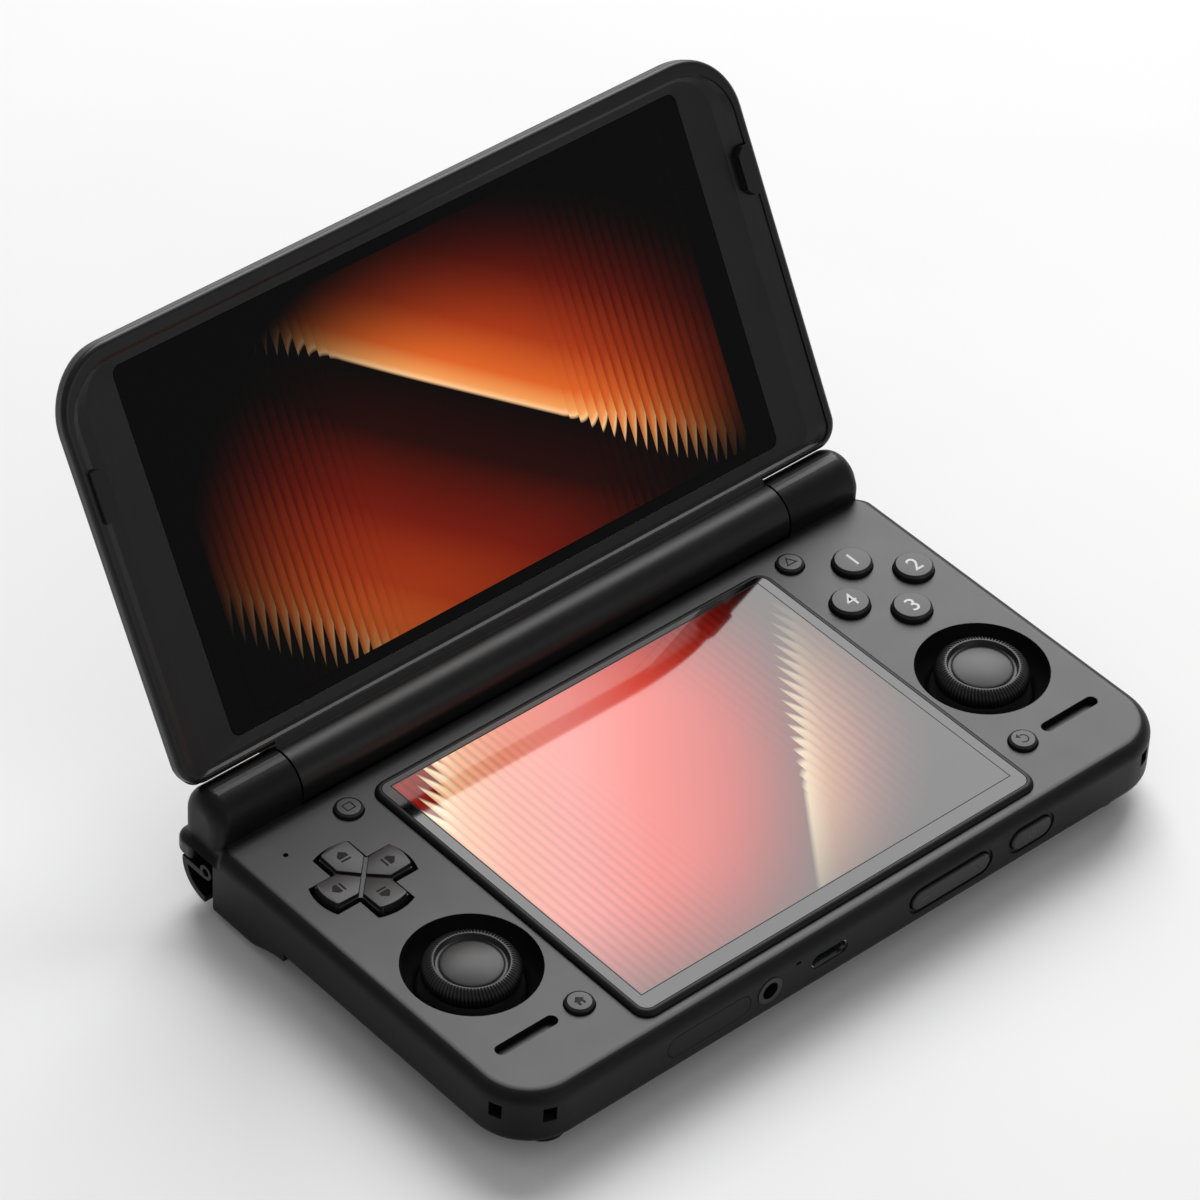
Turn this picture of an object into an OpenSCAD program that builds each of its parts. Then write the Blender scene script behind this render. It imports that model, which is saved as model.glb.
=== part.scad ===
// Clamshell handheld game console, open at rest, in millimetres.
// The origin is on the standing plane, under the middle of the whole open object.
// Inside the modules Y = 0 is the lid hinge's axis, and placed() moves a finished piece to the origin.

/* [Base case] */
// Width of the base across its side walls
base_w = 162.6; // [158:0.2:176]
// Depth of the base from its front wall to its rear wall
base_depth = 97.4; // [96:0.2:106]
// Thickness of the base at its front edge
base_t = 12; // [12:0.2:14]
// How far the rear grips hang below the front part of the base
grip_drop = 4; // [3:0.2:6]
// Depth of the slope that leads from the front part to the rear grips
grip_slope = 16; // [12:0.5:22]
// Wall thickness of the moulded base covers
wall_t = 1.8; // [1.4:0.1:2.2]
// Thickness of the deck
deck_t = 1.6; // [1.2:0.1:1.8]
// Thickness of the floor of the bottom cover
floor_t = 1.4; // [1:0.1:1.6]
// Radius of the front corners, seen from above
front_corner_r = 12; // [10:0.5:15]
// Radius of the rear corners, seen from above
rear_corner_r = 3.6; // [3.4:0.2:5]
// Radius of the rounded edge round the deck
deck_edge_r = 2.9; // [2:0.1:3.2]
// Radius of the rounded edge under the base
bottom_edge_r = 2.4; // [2:0.1:2.4]
// Depth of the seam between the two base covers below the deck
seam_depth = 9.6; // [9.4:0.1:9.8]
// Height of the rear rubber feet below the grips
foot_t = 0.6; // [0.4:0.1:1.2]
// Radius of the feet
foot_r = 4.5; // [3:0.1:6]

/* [Hinge] */
// Radius of the hinge barrels
barrel_r = 6; // [5.6:0.1:6.4]
// Height of the hinge axis above the deck
axis_rise = 2.5; // [2.4:0.1:2.9]
// Half length of the lid's central barrel
lid_barrel_half = 60.4; // [56:0.2:64]
// Gap between the lid's barrel and each base barrel
barrel_end_gap = 0.4; // [0.3:0.05:0.6]
// Gap between the lid's barrel and the trough behind the deck
trough_gap = 0.4; // [0.3:0.05:0.6]
// Radius of the rounded outer ends of the base barrels
barrel_end_r = 3.5; // [2:0.1:4.5]
// Radius of the friction cartridges in the base barrels
cartridge_r = 4.4; // [3.6:0.1:4.6]
// Length of a friction cartridge
cartridge_len = 15; // [12:0.5:18]
// Radius of the hinge shafts
hinge_shaft_r = 2; // [1.5:0.1:2.6]
// How far a hinge shaft reaches into each barrel
hinge_shaft_reach = 8; // [6:0.5:10]
// Opening angle of the lid at rest, from closed
lid_angle = 118.8; // [90:0.1:150]

/* [Lid] */
// How far each side of the lid lies inside the base's side wall
lid_side_inset = 0.3; // [0:0.05:2]
// Distance from the hinge axis to the lid's free edge
lid_reach = 90; // [89.6:0.1:90.8]
// Height of the upper glass above the hinge axis when the lid is closed
glass_set_back = 0.5; // [0.4:0.1:0.9]
// Thickness of the lid behind the plane of its glass
lid_back_t = 5.3; // [5:0.1:6]
// Height of the lid's rim in front of its glass
rim_h = 1.6; // [1.4:0.05:1.7]
// Width of the rim's flat face
rim_w = 2; // [1.6:0.1:2.4]
// Depth of the step inside the rim
rim_step = 0.55; // [0.3:0.05:0.8]
// Radius of the lid's corners at its free edge
lid_corner_r = 13.5; // [11:0.5:16]
// Radius of the lid's corners beside the hinge
lid_heel_r = 5; // [4.8:0.1:6]
// Radius of the rounded edge round the lid's back
lid_back_edge_r = 4.4; // [3:0.1:4.6]
// Radius of the rounded outer edge of the rim
rim_edge_r = 1.1; // [0.5:0.1:1.2]
// Gap between the lid's heel and the base barrels
heel_gap = 0.6; // [0.4:0.05:0.9]
// Where the two lid covers part, behind the plane of the glass
lid_seam = 0.9; // [0.6:0.1:1]
// Wall thickness of the lid covers
lid_wall_t = 1.5; // [1.2:0.1:1.8]
// Length of a closing pad beside the upper screen
pad_len = 10; // [8:0.5:18]
// Distance from the hinge axis to the middle of a closing pad
pad_reach = 64.3; // [50:0.1:70]
// How far the closing pads stand above the lid's rim
pad_rise = 0.9; // [0.4:0.1:1.2]

/* [Screens] */
// Width of the upper glass
upper_glass_w = 134.6; // [126:0.2:138]
// Height of the upper glass
upper_glass_h = 73.3; // [70:0.1:74]
// Distance from the hinge axis to the upper glass
upper_glass_reach = 11.1; // [10.9:0.1:11.6]
// Width of the lower glass
lower_glass_w = 95.4; // [90:0.2:96]
// Depth of the lower glass
lower_glass_d = 74.2; // [70:0.2:74.6]
// Distance from the hinge axis to the lower glass
lower_glass_reach = 11.8; // [11.6:0.1:11.9]
// Thickness of each cover glass
glass_t = 1; // [0.7:0.05:1.1]
// Radius of the glass corners
glass_corner_r = 2; // [1:0.1:3]
// Height of the lower glass above the deck
glass_rise = 1.1; // [1.05:0.05:1.2]
// Width of the raised frame round the lower glass
trim_w = 1.25; // [1:0.05:1.4]
// Thickness of the display panels behind the glass
panel_t = 2.4; // [1.8:0.1:2.6]
// Gap round a cover glass
glass_gap = 0.1; // [0.05:0.01:0.2]

/* [Sticks] */
// Distance from the middle of the base to the middle of a stick
stick_x = 63.3; // [62:0.1:66]
// Distance from the hinge axis to the middle of a stick
stick_reach = 57; // [56:0.1:58]
// Radius of a stick well at the deck
well_r = 13; // [12.8:0.1:13.2]
// Depth of the stick's pivot below the deck
pivot_depth = 8.2; // [8.1:0.05:8.3]
// Depth of the well's bottom edge below the deck
well_depth = 5.8; // [5.6:0.05:5.9]
// Radius of the hole at the bottom of the well
well_throat_r = 10.35; // [10.3:0.05:10.6]
// Gap between the stick's dust dome and the hole at the bottom of the well
dome_gap = 0.12; // [0.1:0.01:0.14]
// Radius of a stick cap
cap_r = 9.25; // [8.8:0.05:9.3]
// Radius of the rounded rim of a stick cap
cap_rim_r = 2.25; // [2:0.05:2.4]
// Height of a stick cap's top above the deck
cap_rise = 1.1; // [0.9:0.05:1.15]
// Height of a stick cap
cap_h = 3.7; // [3.5:0.05:3.8]
// Radius of a stick's post
post_r = 1.58; // [1.4:0.02:1.8]

/* [Buttons] */
// Distance from the middle of the base to the middle of each button group
group_x = 64.4; // [63.5:0.1:65]
// Distance from the hinge axis to the middle of each button group
group_reach = 28; // [27.5:0.1:28.5]
// Distance from the middle of the group to each face button
face_spacing = 8.4; // [8:0.1:8.6]
// Radius of a face button
face_r = 3.95; // [3.6:0.05:4]
// Height of the face buttons and the direction pad above the deck
button_rise = 1.4; // [1.2:0.05:1.45]
// Distance from the middle of the base to the small round buttons
small_x = 54.9; // [54.6:0.1:55.2]
// Distance from the hinge axis to the rear small buttons
small_rear_reach = 12.2; // [12:0.1:12.4]
// Distance from the hinge axis to the front small buttons
small_front_reach = 76.6; // [76:0.1:77]
// Radius of the small round buttons
small_r = 2.75; // [2.5:0.05:2.8]
// Height of the small buttons above the deck
small_rise = 0.9; // [0.6:0.05:1.1]
// Gap round each button in its hole
button_gap = 0.2; // [0.12:0.01:0.25]
// How far a button goes down
button_travel = 0.8; // [0.5:0.05:0.8]
// Length of the direction pad's arms from its middle
pad_arm = 9.7; // [9.2:0.1:9.9]
// Half width of the direction pad's arms
pad_half = 3.6; // [3.2:0.1:3.8]
// Gap round the direction pad, which rocks
pad_gap = 0.6; // [0.55:0.05:0.7]

/* [Front wall] */
// Depth of the ports and side buttons below the deck
port_depth = 5.6; // [5.5:0.05:5.8]
// Place of the memory card door's middle
door_x = -36.8; // [-38:0.1:-36]
// Length of the memory card door
door_len = 20; // [16:0.5:20]
// Height of the memory card door
door_h = 5; // [4.6:0.1:5.2]
// Thickness of the memory card door
door_t = 1; // [0.8:0.05:1.1]
// Place of the headphone socket
jack_x = -22.2; // [-23:0.1:-21]
// Radius of the headphone socket's bore
jack_r = 1.8; // [1.75:0.01:1.9]
// Radius of the headphone socket's collar
jack_collar_r = 2.85; // [2.6:0.05:3]
// Place of the charging socket
usb_x = -7.5; // [-8:0.1:-6]
// Width of the charging socket's shell
usb_w = 8.94; // [8.9:0.02:9.1]
// Height of the charging socket's shell
usb_h = 3.26; // [3.2:0.02:3.3]
// Place of the volume rocker's middle
volume_x = 22.7; // [22:0.1:24]
// Length of the volume rocker
volume_len = 19.6; // [16:0.2:20]
// Place of the power button's middle
power_x = 43.3; // [43:0.1:44]
// Length of the power button
power_len = 10; // [8:0.2:10]
// Height of the volume rocker and the power button
side_button_h = 4.4; // [4:0.1:4.6]
// Width of a lanyard hole
lanyard_w = 2.6; // [2:0.1:3]
// Height of a lanyard hole
lanyard_h = 3.2; // [2.6:0.1:3.4]
// Depth of the lanyard holes below the deck
lanyard_depth = 4.6; // [4.4:0.1:4.8]

/* [Shoulders] */
// Distance from the middle to the inner end of the shoulder pocket
shoulder_x = 61.2; // [61:0.1:64]
// How far the pocket is cut into the base from the hinge axis
pocket_reach = 5.5; // [5:0.1:6]
// How far the bumpers stand out from the rear wall
bumper_out = 1; // [0.6:0.1:1.6]
// Height of the bumpers
bumper_h = 3.4; // [3:0.1:3.6]
// Radius of the pins that the bumpers and triggers turn on
shoulder_pin_r = 0.8; // [0.6:0.05:1]
// Gap round the bumpers and triggers
shoulder_gap = 0.5; // [0.4:0.05:0.6]
// Distance from the hinge axis forward to the trigger's pin
trigger_pin_reach = 2.6; // [2.4:0.1:2.8]

/* [Hidden] */
$fn = 64;

case_black = [0.10, 0.10, 0.105];
deck_grey = [0.20, 0.20, 0.205];
button_grey = [0.16, 0.16, 0.165];
rubber_black = [0.05, 0.05, 0.05];
board_green = [0.07, 0.20, 0.12];
steel = [0.62, 0.63, 0.65];
gold = [0.72, 0.58, 0.28];

// Levels and edges of the base
deck_z = foot_t + grip_drop + base_t;
front_bottom_z = foot_t + grip_drop;
floor_z = front_bottom_z + floor_t;
seam_z = deck_z - seam_depth;
roof_z = deck_z - deck_t;
rear_y = barrel_r;
front_y = barrel_r - base_depth;
axis_z = deck_z + axis_rise;
side_x = base_w / 2;
slope_end_y = -10;
slope_start_y = slope_end_y - grip_slope;
overlap = 1;
hair = 0.01;

// Middle of the open object from front to back, for the origin
side_button_proud = 0.3;
lid_edge_reach = lid_reach - lid_back_edge_r;
lid_edge_depth = glass_set_back + lid_back_t - lid_back_edge_r;
lid_rear_y = -lid_edge_reach * cos(lid_angle) + lid_edge_depth * sin(lid_angle) + lid_back_edge_r;
origin_y = (front_y - side_button_proud + lid_rear_y) / 2;

// Lower screen
trim_in_w = lower_glass_w + 2 * glass_gap;
trim_in_d = lower_glass_d + 2 * glass_gap;
trim_out_w = trim_in_w + 2 * trim_w;
trim_out_d = trim_in_d + 2 * trim_w;
lower_mid_y = -lower_glass_reach - lower_glass_d / 2;
trim_seat = 0.6;
panel_inset = 1.2;
trim_lip = 1;

// Sticks
pivot_z = deck_z - pivot_depth;
throat_z = deck_z - well_depth;
throat_t = 0.8;
dome_r = sqrt(pow(well_throat_r - dome_gap, 2) + pow(pivot_depth - well_depth - throat_t, 2));
dome_t = 0.8;
dome_edge_rise = 1.35;
cap_bottom_z = deck_z + cap_rise - cap_h;
module_w = 11;
module_wall = 1;
module_h = 4.4;
module_floor = 0.6;
trunnion_r = 0.55;
running_gap = 0.05;
yoke_out_r = 4.2;
yoke_in_r = 2.95;
yoke_half_h = 0.6;
cradle_r = 2.35;

// Boards
board_top_z = deck_z - 6.2;
board_t = 1;
board_middle_x = lower_glass_w / 2 + 4.3;
board_front_x = small_x + 5.1;
board_side_x = side_x - 3.3;
board_front_y = front_y + 3;
board_rear_reach = 10;
battery_w = lower_glass_w - 11.4;
battery_front_y = front_y + 14.4;
battery_rear_y = -31;
dome_switch_top_z = deck_z - 5.2;
membrane_t = 0.6;
membrane_dome_top_z = deck_z - 4.95;

// Buttons
button_foot_z = deck_z - 4;
flange_t = 1;
flange_gap = 0.05;
pad_ball_r = 1.4;
pad_ball_z = deck_z - 4.9;
pad_flange_top_z = deck_z - 2.5;
pad_flange_t = 0.8;
pad_ball_gap = 0.05;

// Front wall
port_z = deck_z - port_depth;
wall_in_y = front_y + wall_t;
side_button_gap = 0.2;
side_button_recess = 0.4;
lanyard_span = 48;

// Screws and posts: beside the walls, beside the lower screen and behind the front wall
side_screw_x = side_x - 4.8;
front_screw_x = side_x - 26.3;
middle_screw_x = lower_glass_w / 2 + 3.9;
front_screw_y = front_y + 5.1;
screw_places = [
    [-side_screw_x, -42], [side_screw_x, -42], [-front_screw_x, front_screw_y],
    [front_screw_x, front_screw_y], [-middle_screw_x, -42.5], [middle_screw_x, -42.5]
];
boss_r = 2.2;
screw_r = 0.8;
screw_head_r = 1.7;
screw_head_t = 0.7;
screw_sink = 0.2;
speaker_x = side_x - 14.1;
speaker_reach = small_front_reach - 0.1;
slot_len = 14;
slot_w = 2.5;
mic_x = side_x - 9.9;
mic_reach = 14.3;
mic_r = 0.5;
pad_sink = 0.3;
small_foot_z = dome_switch_top_z + button_travel + 0.1;
post_x = lower_glass_w / 2 - 1.2;
front_post_y = front_y + 5.8;
post_places = [[-post_x, -30], [post_x, -30], [-post_x, front_post_y], [30, front_post_y]];
post_w = 3.2;

// Feet
front_foot_x = side_x - 12.8;
front_foot_y = front_y + 8.4;
rear_foot_x = side_x - 36.3;
rear_foot_y = rear_y - 9.2;

// Shoulders
trigger_pin_len = side_x - shoulder_x - 0.1;
bumper_top_z = axis_z - barrel_r - shoulder_gap;
bumper_low_z = bumper_top_z - bumper_h;
pocket_top_z = axis_z - barrel_r;
bumper_pivot_x = shoulder_x + 2.4;
bumper_pivot_y = 3.6;
bumper_front_y = 1.4;
trigger_pin_y = -trigger_pin_reach;
trigger_pin_z = bumper_low_z - 0.2;
trigger_rib_x = (shoulder_x + side_x) / 2;
trigger_rib_w = 1.6;
pocket_wall = 1.4;
block_x = shoulder_x - pocket_wall;

// Lid
lid_w = base_w - 2 * lid_side_inset;
heel_reach = barrel_r + heel_gap;
crest_reach = lid_reach - rim_w - 0.9;
crest_heel = heel_reach + 1.15;
crest_w = lid_w - 2 * rim_w;
crest_corner_r = lid_corner_r - rim_w;
crest_heel_r = 3.4;
crest_depth = rim_h - rim_step;
pad_out_x = crest_w / 2;
lid_cavity_near = heel_reach + lid_back_edge_r + 2;
lid_cavity_inset = 4.5;
tongue_t = 0.8;
tongue_gap = 0.2;

module placed() {
    translate([0, -origin_y, 0]) children();
}

// Turns a piece drawn on the closed lid, round the hinge axis, to the open rest pose
module on_lid() {
    translate([0, 0, axis_z]) rotate([-lid_angle, 0, 0]) translate([0, 0, glass_set_back]) children();
}

// Quarter of a disc
module quarter(r) {
    intersection() {
        circle(r = r);
        square([r, r]);
    }
}

// Section of a slab from its middle out to a rounded edge
module edge_section(r, h, top_r, low_r) {
    if (h - top_r - low_r > 0.001) translate([0, low_r]) square([r, h - top_r - low_r]);
    if (top_r > 0) {
        translate([0, h - top_r]) square([r - top_r, top_r]);
        translate([r - top_r, h - top_r]) quarter(top_r);
    }
    if (low_r > 0) {
        square([r - low_r, low_r]);
        translate([r - low_r, low_r]) mirror([0, 1]) quarter(low_r);
    }
}

// Strip along the back edge of a slab, with its two corners
module slab_edge(w, r, h, top_r, low_r) {
    translate([-(w / 2 - r), 0, 0]) rotate([90, 0, 90])
        linear_extrude(w - 2 * r) edge_section(r, h, top_r, low_r);
    for (side = [0, 1]) mirror([side, 0, 0]) translate([w / 2 - r, 0, 0])
        rotate_extrude(angle = 90) edge_section(r, h, top_r, low_r);
}

// Slab with rounded corners and rounded edges.
// It spans x = -w/2 to w/2 and y = front to back, and stands on z = low.
module slab(w, front, back, low, h, front_r, back_r, top_r, low_r) {
    translate([0, 0, low]) {
        translate([0, back - back_r, 0]) rotate([90, 0, 0])
            linear_extrude(back - back_r - front - front_r) for (side = [0, 1]) mirror([side, 0, 0])
                edge_section(w / 2, h, top_r, low_r);
        translate([0, back - back_r, 0]) slab_edge(w, back_r, h, top_r, low_r);
        translate([0, front + front_r, 0]) mirror([0, 1, 0]) slab_edge(w, front_r, h, top_r, low_r);
    }
}

// Flat rectangle with rounded corners, from y = front to back
module rounded_rect(w, front, back, front_r, back_r) {
    for (side = [-1, 1]) {
        translate([side * (w / 2 - front_r), front + front_r]) circle(r = front_r);
        translate([side * (w / 2 - back_r), back - back_r]) circle(r = back_r);
    }
    translate([-w / 2, front + front_r]) square([w, back - front - front_r - back_r]);
    translate([-w / 2 + front_r, front]) square([w - 2 * front_r, (back - front) / 2]);
    translate([-w / 2 + back_r, (front + back) / 2]) square([w - 2 * back_r, (back - front) / 2]);
}

// Prism with round ends, lying along X with its flat face towards -Y
module pill(len, h, depth) {
    rotate([-90, 0, 0]) linear_extrude(depth) {
        square([len - h, h], center = true);
        for (side = [-1, 1]) translate([side * (len - h) / 2, 0]) circle(d = h);
    }
}

// Curve of the underside where the front part passes into the grips
function slope_z(t) = front_bottom_z - grip_drop * (1 - cos(180 * t)) / 2;

module slope_section() {
    steps = 12;
    polygon(concat(
        [[rear_y + overlap, deck_z], [slope_start_y, deck_z]],
        [for (i = [0 : steps]) [slope_start_y + grip_slope * i / steps, slope_z(i / steps)]],
        [[rear_y + overlap, foot_t]]
    ));
}

module deck_outer() {
    slab(base_w, front_y, rear_y, seam_z, seam_depth, front_corner_r, rear_corner_r, deck_edge_r, 0);
}

module bottom_outer() {
    slab(base_w, front_y, rear_y, front_bottom_z, base_t - seam_depth,
        front_corner_r, rear_corner_r, 0, bottom_edge_r);
    intersection() {
        slab(base_w, slope_start_y - bottom_edge_r - 1, rear_y, foot_t, base_t + grip_drop - seam_depth,
            bottom_edge_r + 0.5, rear_corner_r, 0, bottom_edge_r);
        translate([-base_w, 0, 0]) rotate([90, 0, 90]) linear_extrude(2 * base_w) slope_section();
    }
}

// Plan of the space inside the covers, clear of the blocks that carry the shoulders
module cavity_plan() {
    difference() {
        rounded_rect(base_w - 2 * wall_t, front_y + wall_t, rear_y - wall_t,
            front_corner_r - wall_t, rear_corner_r - wall_t);
        for (side = [0, 1]) mirror([side, 0]) translate([block_x, -pocket_reach - pocket_wall])
            square([base_w, base_depth]);
    }
}

module deck_cavity() {
    translate([0, 0, seam_z - overlap]) linear_extrude(roof_z - seam_z + overlap) cavity_plan();
}

module bottom_cavity() {
    translate([0, 0, floor_z]) linear_extrude(seam_z - floor_z + overlap) cavity_plan();
    intersection() {
        translate([0, 0, foot_t + floor_t]) linear_extrude(seam_z - foot_t - floor_t + overlap) cavity_plan();
        translate([-base_w, 0, floor_t]) rotate([90, 0, 90]) linear_extrude(2 * base_w) slope_section();
    }
}

// Space for the bumper and trigger at each rear corner
module shoulder_pockets() {
    for (side = [-1, 1]) translate([side > 0 ? shoulder_x : -base_w, -pocket_reach, -overlap])
        cube([base_w - shoulder_x, 30, pocket_top_z + overlap]);
}

// Base barrels with a straight skirt down to the deck and rounded outer ends
module base_barrels() {
    inner = lid_barrel_half + barrel_end_gap;
    len = side_x - inner;
    for (side = [-1, 1]) mirror([side < 0 ? 1 : 0, 0, 0]) {
        translate([inner, 0, axis_z]) rotate([0, 90, 0]) rotate([0, 0, 90])
            puck_one_end(barrel_r, len, barrel_end_r);
        translate([0, 0, pocket_top_z]) linear_extrude(barrel_r) {
            translate([inner, -barrel_r]) square([len - barrel_end_r, 2 * barrel_r]);
            translate([inner, -barrel_r + barrel_end_r]) square([len, 2 * (barrel_r - barrel_end_r)]);
            for (edge = [-1, 1])
                translate([side_x - barrel_end_r, edge * (barrel_r - barrel_end_r)]) circle(r = barrel_end_r);
        }
    }
}

// Round bar with a flat end at z = 0 and a rounded end
module puck_one_end(r, h, end_r) {
    rotate_extrude() {
        square([r, h - end_r]);
        square([r - end_r, h]);
        translate([r - end_r, h - end_r]) quarter(end_r);
    }
}

// Trough that the lid's barrel turns in, and the room that the lid's heel needs behind it
module hinge_trough() {
    half = lid_barrel_half + barrel_end_gap;
    translate([-half, 0, axis_z]) rotate([0, 90, 0]) cylinder(r = barrel_r + trough_gap, h = 2 * half);
    translate([-half, 0, axis_z - glass_set_back - lid_back_t - trough_gap]) cube([2 * half, 20, 30]);
}

module trough_wall() {
    half = lid_barrel_half + barrel_end_gap;
    translate([-half, 0, axis_z]) rotate([0, 90, 0])
        cylinder(r = barrel_r + trough_gap + pocket_wall, h = 2 * half);
}

// Bowl of a stick well, as the space to cut from the deck
module well_space(grow) {
    bowl_x = 5;
    bowl_z = (pow(well_r, 2) - pow(well_throat_r, 2) - pow(well_depth, 2)
        - 2 * bowl_x * (well_r - well_throat_r)) / (2 * well_depth);
    bowl_r = sqrt(pow(well_r - bowl_x, 2) + pow(bowl_z, 2));
    rotate_extrude() intersection() {
        union() {
            square([bowl_x, 40], center = true);
            translate([bowl_x - hair, bowl_z]) circle(r = bowl_r + grow, $fn = 96);
            translate([0, bowl_z]) square([well_r + grow, 20]);
        }
        translate([0, -well_depth]) square([40, well_depth + 10]);
    }
}

module wells() {
    for (side = [-1, 1]) translate([side * stick_x, -stick_reach, deck_z]) {
        well_space(0);
        translate([0, 0, -well_depth - throat_t - overlap])
            cylinder(r = well_throat_r, h = throat_t + overlap + hair);
    }
}

module well_walls() {
    for (side = [-1, 1]) translate([side * stick_x, -stick_reach, 0]) intersection() {
        union() {
            translate([0, 0, deck_z]) well_space(1.2);
            translate([0, 0, throat_z - throat_t]) cylinder(r = well_throat_r + 1.4, h = throat_t + hair);
        }
        translate([0, 0, throat_z - throat_t]) cylinder(r = well_r + 2, h = roof_z - throat_z + throat_t + hair);
    }
}

// Outline of the direction pad: four arms whose ends lie on one circle
module pad_outline(arm, half) {
    intersection() {
        circle(r = arm, $fn = 96);
        union() {
            square([2 * arm + 2, 2 * half], center = true);
            square([2 * half, 2 * arm + 2], center = true);
        }
    }
}

function small_places() = [
    [-small_x, -small_rear_reach], [small_x, -small_rear_reach],
    [-small_x, -small_front_reach], [small_x, -small_front_reach]
];

function face_place(i) = [
    group_x + face_spacing * cos(90 - 90 * i), -group_reach + face_spacing * sin(90 - 90 * i)
];

module deck_holes() {
    translate([0, 0, roof_z - overlap]) {
        for (i = [0 : 3]) translate(face_place(i)) cylinder(r = face_r + button_gap, h = deck_t + 2);
        for (p = small_places()) translate(p) cylinder(r = small_r + button_gap, h = deck_t + 2);
        translate([-group_x, -group_reach, 0]) linear_extrude(deck_t + 2)
            pad_outline(pad_arm + pad_gap, pad_half + pad_gap);
        for (side = [-1, 1]) translate([side * speaker_x, -speaker_reach, 0]) linear_extrude(deck_t + 2) {
            square([slot_len - slot_w, slot_w], center = true);
            for (end = [-1, 1]) translate([end * (slot_len - slot_w) / 2, 0]) circle(d = slot_w);
        }
        translate([-mic_x, -mic_reach, 0]) cylinder(r = mic_r, h = deck_t + 2, $fn = 24);
    }
}

module screen_opening() {
    translate([0, 0, deck_z - trim_seat]) linear_extrude(5)
        rounded_rect(trim_out_w, lower_mid_y - trim_out_d / 2, lower_mid_y + trim_out_d / 2,
            glass_corner_r + trim_w, glass_corner_r + trim_w);
    translate([0, 0, roof_z - overlap]) linear_extrude(5)
        rounded_rect(lower_glass_w - 2 * trim_lip, lower_mid_y - lower_glass_d / 2 + trim_lip,
            lower_mid_y + lower_glass_d / 2 - trim_lip, 1, 1);
}

module front_wall_holes() {
    translate([door_x, front_y - overlap, port_z]) pill(door_len, door_h, door_t + 0.1 + overlap);
    translate([door_x, front_y, port_z]) pill(13, 1.8, wall_t + overlap);
    translate([jack_x, front_y - overlap, port_z]) rotate([-90, 0, 0])
        cylinder(r = jack_collar_r, h = wall_t + 2 * overlap);
    translate([usb_x, front_y - overlap, port_z]) pill(usb_w, usb_h, wall_t + 2 * overlap);
    translate([usb_x - 7.9, front_y - overlap, port_z + 2.6]) pill(1.3, 0.6, wall_t + 2 * overlap);
    for (button = [[volume_x, volume_len], [power_x, power_len]])
        translate([button[0], front_y - overlap, port_z]) {
            pill(button[1] + 2 * side_button_gap, side_button_h + 2 * side_button_gap, wall_t + 2 * overlap);
            pill(button[1] + 1.8, side_button_h + 1.8, side_button_recess + overlap);
        }
}

// Lanyard holes at each front corner, joined by a curved tunnel behind a post
module lanyard_tunnels(grow) {
    in_r = front_corner_r - wall_t - 1.6;
    for (side = [-1, 1]) mirror([side < 0 ? 1 : 0, 0, 0])
        translate([side_x - front_corner_r, front_y + front_corner_r, deck_z - lanyard_depth]) {
            rotate([0, 0, -45 - lanyard_span / 2 - 14 - grow * 6]) rotate_extrude(angle = lanyard_span + 28 + grow * 12)
                translate([in_r - grow, -lanyard_h / 2 - grow])
                square([1.8 + grow, lanyard_h + 2 * grow]);
            if (grow == 0) for (turn = [-1, 1]) rotate([0, 0, -45 + turn * lanyard_span / 2])
                translate([in_r, -lanyard_w / 2, -lanyard_h / 2]) cube([8, lanyard_w, lanyard_h]);
        }
}

module bosses() {
    for (p = screw_places) translate([p[0], p[1], floor_z]) cylinder(r = boss_r, h = roof_z - floor_z + hair);
}

module deck_cover() {
    color(deck_grey) placed() difference() {
        union() {
            difference() {
                deck_outer();
                deck_cavity();
                shoulder_pockets();
            }
            intersection() {
                trough_wall();
                translate([-block_x - hair, -barrel_r - 3, seam_z])
                    cube([2 * block_x + 2 * hair, 2 * barrel_r + 2.5, seam_depth - 0.5]);
            }
            well_walls();
            bosses();
            lanyard_tunnels(1);
            base_barrels();
            trigger_ribs();
        }
        hinge_trough();
        wells();
        deck_holes();
        screen_opening();
        front_wall_holes();
        lanyard_tunnels(0);
        for (p = screw_places) translate([p[0], p[1], floor_z - hair])
            cylinder(r = screw_r, h = 5);
        cartridge_spaces();
        pin_bores();
    }
}

// Ribs in the pockets, which carry the triggers' pins
module trigger_ribs() {
    for (side = [-1, 1]) translate([side * trigger_rib_x - trigger_rib_w / 2, -pocket_reach - 0.2, seam_z])
        cube([trigger_rib_w, pocket_reach + trigger_pin_y + 1.9, pocket_top_z - seam_z + 0.2]);
}

// Bores for the pins that the bumpers and triggers turn on
module pin_bores() {
    for (side = [-1, 1]) {
        translate([side * bumper_pivot_x, bumper_pivot_y, bumper_low_z - 0.4])
            cylinder(r = shoulder_pin_r, h = bumper_h + 2.4);
        translate([side * (shoulder_x - 1.2), trigger_pin_y, trigger_pin_z]) rotate([0, side * 90, 0])
            cylinder(r = shoulder_pin_r, h = trigger_pin_len);
    }
}

module cartridge_spaces() {
    inner = lid_barrel_half + barrel_end_gap;
    for (side = [-1, 1]) translate([side * (inner - overlap), 0, axis_z]) rotate([0, side * 90, 0])
        cylinder(r = cartridge_r, h = cartridge_len + overlap);
}

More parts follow.
